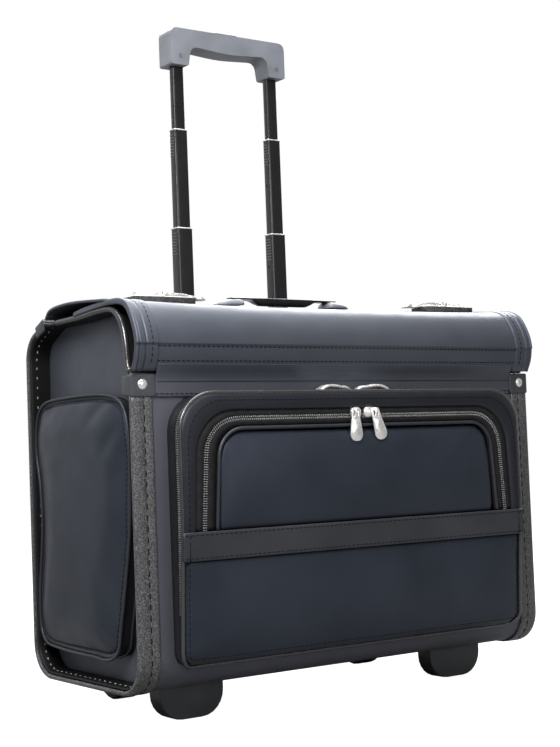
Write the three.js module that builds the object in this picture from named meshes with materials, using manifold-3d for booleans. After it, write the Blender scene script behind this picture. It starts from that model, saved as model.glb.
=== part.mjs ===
import * as THREE from 'three';
import { mergeVertices } from 'three/addons/utils/BufferGeometryUtils.js';
import Module from 'manifold-3d';

// Pilot rolling flight case, in millimetres. +X is the case's left-to-right width, +Y is the
// back, +Z is up. Dimensions are measured from the underside of the case body; the root group
// then lifts everything by the ground clearance and centres the whole case in Y.

// Whole case
const GROUND_CLEARANCE = 30;
const CENTRE_SHIFT_Y = 5.7;
const GAP = 0.3;

// Body wrap: one board running down the front, under the bottom and up the back
const WRAP_HALF_WIDTH = 233.5;
const WRAP_FRONT_Y = -101;
const WRAP_REAR_Y = 103;
const WRAP_BOTTOM_Z = 2;
const WRAP_THICKNESS = 2.4;
const WRAP_CORNER_R = 31;
const WRAP_FRONT_TOP_Z = 279;
const WRAP_REAR_CORNER = [WRAP_REAR_Y, 321.3, 28];
const WRAP_REAR_END = [62, 338.3];

// End pans: flat plate set in behind a flange that runs all round
const PAN_PLATE_X = 198;
const PAN_WALL = 2.5;
const PAN_FLANGE_X = 233.2;
const PAN_RIM = [
  [42, 336], [1, 336.4], [-20, 337.4], [-39, 338.4], [-66, 337.5], [-79, 330],
  [-86, 320], [-90, 306], [-93, 283],
];

// Edge bindings, hinge strip and corner tabs
const HALF_WIDTH = 235;
const BINDING_INNER_X = 213.5;
const BINDING_THICKNESS = 1.6;
const STRIP_LOW_Z = 258;
const TAB_INNER_X = 211;
const TAB_THICKNESS = 2.2;
const TAB_LOW_Z = 258;
const TAB_HIGH_Z = 278.5;
const RIVET_X = 224;
const RIVET_R = 4.6;
const RIVET_DOME = 1.6;

// Front pocket
const POCKET_HALF_WIDTH = 200;
const POCKET_LOW_Z = 23;
const POCKET_HIGH_Z = 261;
const POCKET_BODY_FRONT_Y = -118.5;
const POCKET_PANEL_FRONT_Y = -124.5;
const POCKET_INSET = 3.5;
const WINDOW_LOW_Z = 141;
const WINDOW_HIGH_Z = 245;
const WINDOW_HALF_WIDTH = 188;
const WINDOW_TOP_HALF_WIDTH = 182;
const UPPER_HALF_WIDTH = 166;
const UPPER_TOP_HALF_WIDTH = 160;
const UPPER_HIGH_Z = 229;
const UPPER_FRONT_Y = -126;
const STRAP_LOW_Z = 115;
const STRAP_HIGH_Z = 140;
const STRAP_FRONT_Y = -126.8;
const MAIN_SLIDER_X = [-17.5, -6.5];
const UPPER_SLIDER_X = [-11, 8];
const UPPER_SLIDER_Z = 237;
const PULL_PIN_Y = -127.6;
const PULL_PIN_Z = 240.5;
const PULL_LENGTH = 27;

// Side pockets, outline in Y and Z
const SIDE_POCKET_X = [201, 229.5];
const SIDE_POCKET_OUTLINE = [
  [-83, 62], [-76, 36], [-52, 27], [-20, 31], [20, 33], [60, 28], [86, 30], [96, 52],
  [94, 84], [86, 120], [82, 150], [86, 185], [92, 215], [88, 246], [68, 262], [20, 265],
  [-40, 264], [-70, 258], [-83, 236], [-85, 180], [-83, 120],
];

// Front feet and rear wheels
const FOOT_X = 158;
const FOOT_HALF_WIDTH = 33.5;
const FOOT_CORNER_R = 23;
const FOOT_Y = [-40, -60];
const WHEEL_X = 150;
const WHEEL_Y = 88;
const WHEEL_R = 30;
const WHEEL_HALF_WIDTH = 12;
const WHEEL_BORE_R = 4.05;
const AXLE_R = 4;
const CHEEK_INNER = 13.5;
const CHEEK_OUTER = 16.5;
const HOUSING_TOP_Z = 68;
const HOUSING_FRONT_Y = 50;

// Trolley
const TUBE_X = 59.3;
const TUBE_Y = 92;
const TUBE_WALL = 1;
const SOCKET_SIZE = [21.6, 16.6];
const STAGES = [
  { size: [19, 14], low: 163, high: 443 },
  { size: [16.4, 11.4], low: 272, high: 547 },
  { size: [13.8, 8.8], low: 344, high: 634 },
];
const SOCKET_LOW_Z = 40;
const BEZEL_LOW_Z = 302;
const BEZEL_HIGH_Z = 329.5;
const BEZEL_HALF = [15, 9];
const GRIP_HALF_WIDTH = 72;
const GRIP_BLOCK_X = 51;
const GRIP_Z = [614, 633, 653];
const GRIP_HALF_DEPTH = 12.5;
const BUTTON_HALF = [14, 17, 6.5];
const BUTTON_Z = [649.5, 656];

// Top flaps: outer surfaces in Y and Z, the rear one lying over the front one
const FLAP_THICKNESS = 2.4;
const FRONT_FLAP = [
  [-104.6, 281.2], [-108.6, 285.5], [-112.8, 295], [-113.6, 305], [-110.5, 317], [-104.5, 329],
  [-97, 338], [-86, 342.4], [-71, 343.6], [-52, 343.4], [-33, 342.4], [-13, 341.1], [1, 339.6],
];
const REAR_FLAP = [
  [60.2, 341.8], [54, 348], [41, 351], [20, 352], [0, 351.7], [-20, 350.6], [-39, 349.2],
  [-60, 347.6],
];

// Locks and carry handle on the rear flap
const LOCK_PAD_X = [140, 205];
const LOCK_PAD_Y = [-60.5, -30];
const LOCK_PAD_Z = [344.9, 351.8];
const LOCK_CASE_X = [150, 200];
const LOCK_CASE_Y = [-57, -34];
const LOCK_CASE_HIGH_Z = 353.6;
const LOCK_MID_Y = -45.5;
const DIAL_X = [180.4, 187, 193.6];
const DIAL_R = 5.2;
const DIAL_HALF_WIDTH = 2.5;
const DIAL_Z = 352.6;
const HASP_PIN_X = 170;
const HASP_PIN_Z = 355.8;
const MOUNT_X = [50, 82];
const MOUNT_BASE_Z = 352.3;
const MOUNT_HALF_DEPTH = 13;
const BAND_Z = [357.5, 360.2];
const BAND_HALF_DEPTH = 9;
const GRIP_UNDERSIDE_Z = 352.6;

const SIDES = [['left', -1], ['right', 1]];

const wasm = await Module();
wasm.setup();

const ALONG_X = new THREE.Matrix4().makeBasis(
  new THREE.Vector3(0, 1, 0),
  new THREE.Vector3(0, 0, 1),
  new THREE.Vector3(1, 0, 0),
);
const ALONG_MINUS_Y = new THREE.Matrix4().makeBasis(
  new THREE.Vector3(1, 0, 0),
  new THREE.Vector3(0, 0, 1),
  new THREE.Vector3(0, -1, 0),
);

// Outlines

// Corners [a, b, radius] become an outline whose corners are rounded.
function rounded(corners, steps = 4) {
  const outline = [];
  corners.forEach(([a, b, radius = 0], i) => {
    if (radius === 0) {
      outline.push([a, b]);
      return;
    }
    const before = corners.at(i - 1);
    const after = corners[(i + 1) % corners.length];
    const here = new THREE.Vector2(a, b);
    const u = new THREE.Vector2(before[0], before[1]).sub(here).normalize();
    const v = new THREE.Vector2(after[0], after[1]).sub(here).normalize();
    const half = Math.acos(u.dot(v)) / 2;
    const start = here.clone().addScaledVector(u, radius / Math.tan(half));
    const centre = u.clone().add(v).normalize().multiplyScalar(radius / Math.sin(half)).add(here);
    const from = Math.atan2(start.y - centre.y, start.x - centre.x);
    const turn = (Math.PI - 2 * half) * Math.sign(v.clone().cross(u));
    for (let k = 0; k <= steps; k += 1) {
      const angle = from + (turn * k) / steps;
      outline.push([
        centre.x + radius * Math.cos(angle),
        centre.y + radius * Math.sin(angle),
      ]);
    }
  });
  return outline;
}

// A line shifted sideways by a distance, to the left of its direction when positive.
function shifted(line, distance, closed = false) {
  const count = line.length;
  return line.map(([a, b], i) => {
    const before = closed || i > 0 ? line[(i + count - 1) % count] : null;
    const after = closed || i < count - 1 ? line[(i + 1) % count] : null;
    const normals = [];
    if (before) {
      normals.push(new THREE.Vector2(before[1] - b, a - before[0]).normalize());
    }
    if (after) {
      normals.push(new THREE.Vector2(b - after[1], after[0] - a).normalize());
    }
    const mean = normals.reduce((sum, n) => sum.add(n), new THREE.Vector2()).normalize();
    const reach = distance / mean.dot(normals[0]);
    return [a + mean.x * reach, b + mean.y * reach];
  });
}

function ribbon(line, thickness) {
  return [...line, ...shifted(line, thickness).reverse()];
}

function circle(a, b, radius, segments) {
  return Array.from({ length: segments }, (_, k) => {
    const angle = (2 * Math.PI * (k + 0.5)) / segments;
    return [a + radius * Math.cos(angle), b + radius * Math.sin(angle)];
  });
}

function rectangle(a0, a1, b0, b1, radius = 0, steps = 3) {
  const corners = [[a0, b0, radius], [a1, b0, radius], [a1, b1, radius], [a0, b1, radius]];
  return rounded(corners, steps);
}

// Solids

function prism(outline, depth, holes = []) {
  const shape = new THREE.Shape(outline.map(([a, b]) => new THREE.Vector2(a, b)));
  holes.forEach((hole) => {
    shape.holes.push(new THREE.Path(hole.map(([a, b]) => new THREE.Vector2(a, b))));
  });
  return new THREE.ExtrudeGeometry(shape, { depth, bevelEnabled: false });
}

// An outline in Y and Z swept across X.
function acrossX(outline, x0, x1, holes) {
  const low = Math.min(x0, x1);
  return prism(outline, Math.abs(x1 - x0), holes).applyMatrix4(ALONG_X).translate(low, 0, 0);
}

// An outline in X and Z swept forwards from one Y to another.
function forwards(outline, back, front, holes) {
  return prism(outline, back - front, holes).applyMatrix4(ALONG_MINUS_Y).translate(0, back, 0);
}

// An outline in X and Y swept upwards.
function upwards(outline, low, high, holes) {
  return prism(outline, high - low, holes).translate(0, 0, low);
}

function box([x0, x1], [y0, y1], [z0, z1]) {
  const size = [Math.abs(x1 - x0), Math.abs(y1 - y0), Math.abs(z1 - z0)];
  const geometry = new THREE.BoxGeometry(...size);
  return geometry.translate((x0 + x1) / 2, (y0 + y1) / 2, (z0 + z1) / 2);
}

function toManifold(geometry) {
  const bare = geometry.clone();
  bare.deleteAttribute('normal');
  bare.deleteAttribute('uv');
  const merged = mergeVertices(bare, 1e-4);
  return new wasm.Manifold(new wasm.Mesh({
    numProp: 3,
    vertProperties: new Float32Array(merged.attributes.position.array),
    triVerts: new Uint32Array(merged.index.array),
  }));
}

function combine(base, added, removed) {
  let result = toManifold(base);
  added.forEach((geometry) => {
    result = result.add(toManifold(geometry));
  });
  removed.forEach((geometry) => {
    result = result.subtract(toManifold(geometry));
  });
  const mesh = result.getMesh();
  const geometry = new THREE.BufferGeometry();
  geometry.setAttribute('position', new THREE.Float32BufferAttribute(mesh.vertProperties, 3));
  geometry.setIndex(Array.from(mesh.triVerts));
  const flat = geometry.toNonIndexed();
  flat.computeVertexNormals();
  return flat;
}

// Finishes

const FINISHES = {
  leather: { color: 0x1a1c22, roughness: 0.42, metalness: 0 },
  grained_leather: { color: 0x141416, roughness: 0.55, metalness: 0 },
  zipper: { color: 0x0c0c0d, roughness: 0.7, metalness: 0 },
  nickel: { color: 0xc9c9c6, roughness: 0.22, metalness: 1 },
  gloss_black: { color: 0x0d0d0f, roughness: 0.25, metalness: 0.3 },
  grey_plastic: { color: 0x26272a, roughness: 0.5, metalness: 0 },
  wheel_rubber: { color: 0x1b1b1c, roughness: 0.8, metalness: 0 },
};

function piece(name, geometry, finish) {
  const mesh = new THREE.Mesh(geometry, new THREE.MeshStandardMaterial(FINISHES[finish]));
  mesh.name = name;
  return mesh;
}

// Body

const wrapLine = rounded([
  [WRAP_FRONT_Y, WRAP_FRONT_TOP_Z],
  [WRAP_FRONT_Y, WRAP_BOTTOM_Z, WRAP_CORNER_R],
  [WRAP_REAR_Y, WRAP_BOTTOM_Z, WRAP_CORNER_R],
  WRAP_REAR_CORNER,
  WRAP_REAR_END,
], 6);

function wrapShell() {
  const shell = acrossX(ribbon(wrapLine, WRAP_THICKNESS), -WRAP_HALF_WIDTH, WRAP_HALF_WIDTH);
  const cuts = SIDES.flatMap(([, side]) => {
    const housing = [WHEEL_X - CHEEK_OUTER - GAP, WHEEL_X + CHEEK_OUTER + GAP];
    const bezel = [TUBE_X - BEZEL_HALF[0] - GAP, TUBE_X + BEZEL_HALF[0] + GAP];
    return [
      box(housing.map((x) => x * side), [HOUSING_FRONT_Y - GAP, 120], [-5, HOUSING_TOP_Z + GAP]),
      box(bezel.map((x) => x * side), [TUBE_Y - BEZEL_HALF[1] - GAP, 120], [BEZEL_LOW_Z, 340]),
    ];
  });
  return piece('wrap_shell', combine(shell, [], cuts), 'leather');
}

function endPan(label, side) {
  const outline = [...shifted(wrapLine, WRAP_THICKNESS + GAP), ...PAN_RIM];
  const solid = acrossX(outline, side * PAN_PLATE_X, side * PAN_FLANGE_X);
  const dish = acrossX(
    shifted(outline, PAN_WALL, true),
    side * (PAN_PLATE_X + PAN_WALL),
    side * (PAN_FLANGE_X + 5),
  );
  return piece(`end_panel_${label}`, combine(solid, [], [dish]), 'leather');
}

function edgeBinding(label, side) {
  const outer = shifted(wrapLine, -GAP - BINDING_THICKNESS);
  const line = [[outer[0][0], TAB_LOW_Z - GAP], ...outer.slice(1)];
  const geometry = acrossX(
    ribbon(line, BINDING_THICKNESS),
    side * BINDING_INNER_X,
    side * HALF_WIDTH,
  );
  return piece(`edge_binding_${label}`, geometry, 'grained_leather');
}

function hingeStrip() {
  const front = WRAP_FRONT_Y - GAP;
  const geometry = box(
    [-TAB_INNER_X + GAP, TAB_INNER_X - GAP],
    [front - BINDING_THICKNESS, front],
    [STRIP_LOW_Z, WRAP_FRONT_TOP_Z],
  );
  return piece('hinge_strip', geometry, 'leather');
}

function rivet(name) {
  const profile = [
    [0, 0], [RIVET_R, 0], [RIVET_R, 0.5], [RIVET_R * 0.7, RIVET_DOME * 0.85], [0, RIVET_DOME],
  ].map(([r, h]) => new THREE.Vector2(r, h));
  return piece(name, new THREE.LatheGeometry(profile, 16), 'nickel');
}

function frontTab(label, side) {
  const back = WRAP_FRONT_Y - GAP;
  const tab = box(
    [side * TAB_INNER_X, side * HALF_WIDTH],
    [back - TAB_THICKNESS, back],
    [TAB_LOW_Z, TAB_HIGH_Z],
  );
  const stud = rivet(`tab_rivet_front_${label}`);
  stud.rotation.x = Math.PI;
  stud.position.set(side * RIVET_X, back - TAB_THICKNESS - GAP, 269);
  return [piece(`corner_tab_front_${label}`, tab, 'grained_leather'), stud];
}

// The rear tabs lie on the binding, on the sloped top of the rounded rear corner.
function rearTab(label, side) {
  const [endY, endZ] = WRAP_REAR_END;
  const slope = Math.atan2(endZ - WRAP_REAR_CORNER[1], WRAP_REAR_CORNER[0] - endY);
  const tab = new THREE.Group();
  tab.rotation.x = -slope;
  tab.position.set(side * RIVET_X, endY, endZ);
  const low = 2 * GAP + BINDING_THICKNESS;
  const plate = box([-12.5, 11], [1, 21], [low, low + TAB_THICKNESS]);
  if (side < 0) {
    plate.translate(1.5, 0, 0);
  }
  const stud = rivet(`tab_rivet_rear_${label}`);
  stud.rotation.x = Math.PI / 2;
  stud.position.set(0, 11, low + TAB_THICKNESS + GAP);
  tab.add(piece(`corner_tab_rear_${label}`, plate, 'grained_leather'), stud);
  return tab;
}

// Front pocket

const pocketOutline = rounded([
  [-POCKET_HALF_WIDTH, POCKET_LOW_Z, 14],
  [POCKET_HALF_WIDTH, POCKET_LOW_Z, 14],
  [POCKET_HALF_WIDTH, POCKET_HIGH_Z, 35],
  [-POCKET_HALF_WIDTH, POCKET_HIGH_Z, 35],
], 6);

function archOutline(halfWidth, topHalfWidth, low, high, radius) {
  return rounded([
    [-halfWidth, low],
    [halfWidth, low],
    [topHalfWidth, high, radius],
    [-topHalfWidth, high, radius],
  ], 6);
}

function frontPocket() {
  const back = WRAP_FRONT_Y - GAP;
  const inner = shifted(pocketOutline, POCKET_INSET, true);
  const body = forwards(inner, back, POCKET_BODY_FRONT_Y);

  const zipOutline = shifted(pocketOutline, POCKET_INSET - GAP - 1.4, true);
  const zipHole = shifted(pocketOutline, POCKET_INSET - GAP, true);
  const ring = forwards(zipOutline, -107, -117, [zipHole]);
  const cut = box([-260, 260], [-130, -90], [0, 66]);
  const mainZip = combine(ring, [], [cut]);

  const windowOutline = archOutline(
    WINDOW_HALF_WIDTH, WINDOW_TOP_HALF_WIDTH, WINDOW_LOW_Z, WINDOW_HIGH_Z, 40,
  );
  const panelBack = POCKET_BODY_FRONT_Y - GAP;
  const panel = forwards(pocketOutline, panelBack, POCKET_PANEL_FRONT_Y, [windowOutline]);

  const upperOutline = archOutline(
    UPPER_HALF_WIDTH, UPPER_TOP_HALF_WIDTH, WINDOW_LOW_Z + GAP, UPPER_HIGH_Z, 26,
  );
  const upper = forwards(upperOutline, panelBack, UPPER_FRONT_Y);

  const band = combine(
    forwards(shifted(windowOutline, GAP, true), panelBack, -122),
    [],
    [
      forwards(shifted(upperOutline, -GAP, true), panelBack + 5, -130),
      box([-UPPER_HALF_WIDTH, UPPER_HALF_WIDTH], [panelBack + 5, -130], [100, WINDOW_LOW_Z + 2]),
    ],
  );

  const strap = box(
    [-POCKET_HALF_WIDTH, POCKET_HALF_WIDTH],
    [POCKET_PANEL_FRONT_Y - GAP, STRAP_FRONT_Y],
    [STRAP_LOW_Z, STRAP_HIGH_Z],
  );
  return [
    piece('pocket_body', body, 'leather'),
    piece('pocket_zipper_main', mainZip, 'zipper'),
    piece('pocket_panel', panel, 'leather'),
    piece('pocket_zipper_upper', band, 'zipper'),
    piece('pocket_panel_upper', upper, 'leather'),
    piece('pocket_strap', strap, 'grained_leather'),
  ];
}

// A main-zip slider sits on the zip along the pocket's top edge, its flat pull lying outwards.
function mainSlider(label, side, x) {
  const top = POCKET_HIGH_Z - POCKET_INSET + GAP + 1.4;
  const saddle = box([x - 4.5, x + 4.5], [-116.5, -107.5], [top + GAP, top + 4.2]);
  const pull = upwards(
    rounded([
      [x, -114.5], [x + side * 12, -114.5, 2], [x + side * 34, -117.5, 4],
      [x + side * 34, -106.5, 4], [x + side * 12, -109.5, 2], [x, -109.5],
    ], 3),
    top + 2.6,
    top + 4.8,
  );
  return piece(`zip_slider_main_${label}`, combine(saddle, [pull], []), 'nickel');
}

// An upper slider carries two ears and a pin; its pull hangs from the pin.
function upperSlider(label, x) {
  const back = -122 - GAP;
  const saddle = box([x - 4.5, x + 4.5], [back - 2.6, back], [UPPER_SLIDER_Z - 6, UPPER_SLIDER_Z + 6]);
  const earZ = [PULL_PIN_Z - 2.4, PULL_PIN_Z + 2.4];
  const earY = [PULL_PIN_Y - 1.8, back - 1];
  const ears = [-1, 1].map((s) => box([x + s * 3.2, x + s * 4.5], earY, earZ));
  const pin = acrossX(circle(PULL_PIN_Y, PULL_PIN_Z, 0.8, 12), x - 4, x + 4);
  return piece(`zip_slider_upper_${label}`, combine(saddle, [...ears, pin], []), 'nickel');
}

function upperPull(label, x, tilt) {
  const knuckle = acrossX(circle(PULL_PIN_Y, PULL_PIN_Z, 1.7, 16), x - 2.7, x + 2.7);
  const plateOutline = rounded([
    [x - 1.6, PULL_PIN_Z - 0.9], [x - 5.4, PULL_PIN_Z - PULL_LENGTH + 4, 3],
    [x - 3.4, PULL_PIN_Z - PULL_LENGTH, 2], [x + 3.4, PULL_PIN_Z - PULL_LENGTH, 2],
    [x + 5.4, PULL_PIN_Z - PULL_LENGTH + 4, 3], [x + 1.6, PULL_PIN_Z - 0.9],
  ], 2);
  const plate = forwards(plateOutline, PULL_PIN_Y + 1, PULL_PIN_Y - 1);
  const pivot = new THREE.Vector3(x, PULL_PIN_Y, PULL_PIN_Z);
  plate.translate(-pivot.x, -pivot.y, -pivot.z);
  plate.rotateY(-tilt);
  plate.translate(pivot.x, pivot.y, pivot.z);
  const bore = acrossX(circle(PULL_PIN_Y, PULL_PIN_Z, 0.9, 12), x - 8, x + 8);
  return piece(`zip_pull_upper_${label}`, combine(knuckle, [plate], [bore]), 'nickel');
}

// Side pockets, feet and wheels

function sidePocket(label, side) {
  const geometry = acrossX(
    SIDE_POCKET_OUTLINE,
    side * SIDE_POCKET_X[0],
    side * SIDE_POCKET_X[1],
  );
  return piece(`side_pocket_${label}`, geometry, 'leather');
}

function foot(label, side) {
  const left = side * FOOT_X - FOOT_HALF_WIDTH;
  const right = side * FOOT_X + FOOT_HALF_WIDTH;
  const top = WRAP_BOTTOM_Z - GAP;
  const bottom = -GROUND_CLEARANCE;
  const outline = rounded([
    [left, top], [left, bottom, FOOT_CORNER_R], [right, bottom, FOOT_CORNER_R], [right, top],
  ], 6);
  return piece(`front_foot_${label}`, forwards(outline, FOOT_Y[0], FOOT_Y[1]), 'grey_plastic');
}

function wheelHousing(label, side) {
  const x = side * WHEEL_X;
  const outline = rounded([
    [HOUSING_FRONT_Y, WRAP_BOTTOM_Z], [HOUSING_FRONT_Y, HOUSING_TOP_Z, 12],
    [WRAP_REAR_Y + 2, HOUSING_TOP_Z, 4], [WRAP_REAR_Y + 2, 8, 6],
    [WHEEL_Y + 9, -11, 8], [WHEEL_Y - 9, -11, 8], [WHEEL_Y - 22, WRAP_BOTTOM_Z],
  ], 3);
  const shell = acrossX(outline, x - CHEEK_OUTER, x + CHEEK_OUTER);
  const well = rounded([
    [WHEEL_Y - 34, -20], [WHEEL_Y - 34, 34, 26], [WHEEL_Y + 60, 34], [WHEEL_Y + 60, -20],
  ], 5);
  const room = acrossX(well, x - CHEEK_INNER, x + CHEEK_INNER);
  const axle = acrossX(circle(WHEEL_Y, 0, AXLE_R, 24), x - CHEEK_OUTER + 1, x + CHEEK_OUTER - 1);
  const hollow = combine(shell, [], [room]);
  return piece(`wheel_housing_${label}`, combine(hollow, [axle], []), 'grey_plastic');
}

function rearWheel(label, side) {
  const rim = WHEEL_HALF_WIDTH;
  const profile = [
    [WHEEL_BORE_R, -rim], [11, -rim], [13, -rim + 3], [21, -rim + 3], [23, -rim],
    [WHEEL_R - 2, -rim], [WHEEL_R, -rim + 2.5], [WHEEL_R, rim - 2.5], [WHEEL_R - 2, rim],
    [23, rim], [21, rim - 3], [13, rim - 3], [11, rim], [WHEEL_BORE_R, rim], [WHEEL_BORE_R, -rim],
  ].map(([r, h]) => new THREE.Vector2(r, h));
  const wheel = piece(`rear_wheel_${label}`, new THREE.LatheGeometry(profile, 24), 'wheel_rubber');
  wheel.rotation.z = Math.PI / 2;
  wheel.position.set(side * WHEEL_X, WHEEL_Y, 0);
  return wheel;
}

// Trolley

function tubeOutline([width, depth], inset = 0) {
  const [w, d] = [width / 2 - inset, depth / 2 - inset];
  return rectangle(-w, w, -d, d, Math.max(0.8, 2.6 - inset), 2);
}

function trolleySocket(label, side) {
  const tube = upwards(tubeOutline(SOCKET_SIZE), SOCKET_LOW_Z, BEZEL_LOW_Z + 1);
  const bezel = upwards(
    rectangle(-BEZEL_HALF[0], BEZEL_HALF[0], -BEZEL_HALF[1], BEZEL_HALF[1], 3),
    BEZEL_LOW_Z + GAP,
    BEZEL_HIGH_Z,
  );
  const [width, depth] = STAGES[0].size;
  const bore = upwards(
    tubeOutline([width + 2 * GAP, depth + 2 * GAP]),
    SOCKET_LOW_Z - 5,
    BEZEL_HIGH_Z + 5,
  );
  const socket = piece(`trolley_socket_${label}`, combine(tube, [bezel], [bore]), 'grey_plastic');
  socket.position.set(side * TUBE_X, TUBE_Y, 0);
  return socket;
}

function stageTube(index, label, side) {
  const { size, low, high } = STAGES[index];
  const tube = upwards(tubeOutline(size), low, high, [tubeOutline(size, TUBE_WALL)]);
  const mesh = piece(`trolley_tube_${index + 1}_${label}`, tube, 'gloss_black');
  mesh.position.set(side * TUBE_X, TUBE_Y, 0);
  return mesh;
}

function trolleyGrip() {
  const [low, barLow, top] = GRIP_Z;
  const outline = rounded([
    [-GRIP_HALF_WIDTH, low, 2], [-GRIP_BLOCK_X, low, 2], [-GRIP_BLOCK_X + 3, barLow + 2, 8],
    [0, barLow - 1.5, 200], [GRIP_BLOCK_X - 3, barLow + 2, 8], [GRIP_BLOCK_X, low, 2],
    [GRIP_HALF_WIDTH, low, 2], [GRIP_HALF_WIDTH, top, 7], [-GRIP_HALF_WIDTH, top, 7],
  ], 3);
  const bar = forwards(outline, GRIP_HALF_DEPTH, -GRIP_HALF_DEPTH);
  const [width, depth] = STAGES[2].size;
  const sockets = SIDES.map(([, side]) => {
    const hole = tubeOutline([width + 2 * GAP, depth + 2 * GAP]);
    return upwards(hole, low - 2, STAGES[2].high + GAP).translate(side * TUBE_X, 0, 0);
  });
  const slot = box(
    [-BUTTON_HALF[1] - GAP, BUTTON_HALF[1] + GAP],
    [-BUTTON_HALF[2] - GAP, BUTTON_HALF[2] + GAP],
    [BUTTON_Z[0] - 4, top + 2],
  );
  const grip = piece('trolley_grip', combine(bar, [], [...sockets, slot]), 'grey_plastic');
  grip.position.y = TUBE_Y;
  return grip;
}

function releaseButton() {
  const outline = rounded([
    [-BUTTON_HALF[1], BUTTON_Z[0]], [BUTTON_HALF[1], BUTTON_Z[0]],
    [BUTTON_HALF[1], BUTTON_Z[1] - 2.2], [BUTTON_HALF[0], BUTTON_Z[1], 2],
    [-BUTTON_HALF[0], BUTTON_Z[1], 2], [-BUTTON_HALF[1], BUTTON_Z[1] - 2.2],
  ], 2);
  const geometry = forwards(outline, BUTTON_HALF[2], -BUTTON_HALF[2]);
  const button = piece('trolley_button', geometry, 'gloss_black');
  button.position.y = TUBE_Y;
  return button;
}

// Flaps, locks and carry handle

function frontFlap() {
  const outline = ribbon(FRONT_FLAP, -FLAP_THICKNESS);
  return piece('front_flap', acrossX(outline, -HALF_WIDTH, HALF_WIDTH), 'leather');
}

function rearFlap() {
  const cover = acrossX(ribbon(REAR_FLAP, FLAP_THICKNESS), -HALF_WIDTH, HALF_WIDTH);
  const [inner, outer] = LOCK_PAD_X;
  const [low, high] = LOCK_PAD_Z;
  const pads = SIDES.map(([, side]) => forwards(
    [[inner, low], [outer, low], [outer, low + 3], [outer - 9, high], [inner, high]]
      .map(([x, z]) => [side * x, z]),
    LOCK_PAD_Y[1],
    LOCK_PAD_Y[0],
  ));
  const wells = SIDES.map(([, side]) => box(
    [side * (DIAL_X[0] - DIAL_HALF_WIDTH - GAP), side * (DIAL_X[2] + DIAL_HALF_WIDTH + GAP)],
    [LOCK_MID_Y - DIAL_R - 0.4, LOCK_MID_Y + DIAL_R + 0.4],
    [DIAL_Z - DIAL_R - 0.4, DIAL_Z + DIAL_R],
  ));
  return piece('rear_flap', combine(cover, pads, wells), 'leather');
}

function lockCase(label, side) {
  const low = LOCK_PAD_Z[1] + GAP;
  const plate = upwards(
    rectangle(
      side < 0 ? -LOCK_CASE_X[1] + 4 : LOCK_CASE_X[0],
      side < 0 ? -LOCK_CASE_X[0] : LOCK_CASE_X[1] - 4,
      LOCK_CASE_Y[0],
      LOCK_CASE_Y[1],
      2.5,
    ),
    low,
    LOCK_CASE_HIGH_Z,
  );
  const slots = DIAL_X.map((x) => box(
    [side * (x - DIAL_HALF_WIDTH - GAP), side * (x + DIAL_HALF_WIDTH + GAP)],
    [LOCK_MID_Y - DIAL_R - 0.4, LOCK_MID_Y + DIAL_R + 0.4],
    [low - 2, LOCK_CASE_HIGH_Z + 2],
  ));
  const lugs = [-1, 1].map((s) => box(
    [side * (HASP_PIN_X - 2.4), side * (HASP_PIN_X + 2.4)],
    [LOCK_MID_Y + s * 7.4, LOCK_MID_Y + s * 9.4],
    [LOCK_CASE_HIGH_Z - 1, HASP_PIN_Z + 2.2],
  ));
  const pin = forwards(
    circle(side * HASP_PIN_X, HASP_PIN_Z, 1.1, 12), LOCK_MID_Y + 8, LOCK_MID_Y - 8,
  );
  return piece(`lock_case_${label}`, combine(plate, [...lugs, pin], slots), 'nickel');
}

function dial(label, side, index) {
  const profile = [
    [0, -DIAL_HALF_WIDTH], [DIAL_R - 0.6, -DIAL_HALF_WIDTH], [DIAL_R, -DIAL_HALF_WIDTH + 0.6],
    [DIAL_R, DIAL_HALF_WIDTH - 0.6], [DIAL_R - 0.6, DIAL_HALF_WIDTH], [0, DIAL_HALF_WIDTH],
  ].map(([r, h]) => new THREE.Vector2(r, h));
  const mesh = piece(
    `lock_dial_${label}_${index + 1}`, new THREE.LatheGeometry(profile, 20), 'nickel',
  );
  mesh.rotation.z = Math.PI / 2;
  mesh.position.set(side * DIAL_X[index], LOCK_MID_Y, DIAL_Z);
  return mesh;
}

// The hasp turns on the lock's pin and lies inwards over the flap, its tip bent down.
function hasp(label, side) {
  const line = [
    [HASP_PIN_X, HASP_PIN_Z + 0.8], [149, 355.8], [137, 353.9], [132, 351.6],
  ].map(([x, z]) => [side * x, z]);
  const tongue = forwards(ribbon(line, side * 1.4), LOCK_MID_Y + 6.9, LOCK_MID_Y - 6.9);
  const knuckle = forwards(
    circle(side * HASP_PIN_X, HASP_PIN_Z, 2, 16), LOCK_MID_Y + 6.9, LOCK_MID_Y - 6.9,
  );
  const bore = forwards(
    circle(side * HASP_PIN_X, HASP_PIN_Z, 1.2, 12), LOCK_MID_Y + 10, LOCK_MID_Y - 10,
  );
  return piece(`lock_hasp_${label}`, combine(knuckle, [tongue], [bore]), 'nickel');
}

function handleMount(label, side) {
  const [inner, outer] = MOUNT_X;
  const dome = forwards(
    [
      [inner, MOUNT_BASE_Z], [outer, MOUNT_BASE_Z], [outer - 1.5, 355.2], [outer - 9, 358.4],
      [outer - 19, 360.6], [inner, 361.5],
    ].map(([x, z]) => [side * x, z]),
    MOUNT_HALF_DEPTH,
    -MOUNT_HALF_DEPTH,
  );
  const slot = box(
    [side * (inner - 2), side * 64.3],
    [-BAND_HALF_DEPTH - GAP, BAND_HALF_DEPTH + GAP],
    [BAND_Z[0] - GAP, BAND_Z[1] + GAP],
  );
  return piece(`handle_mount_${label}`, combine(dome, [], [slot]), 'grey_plastic');
}

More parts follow.
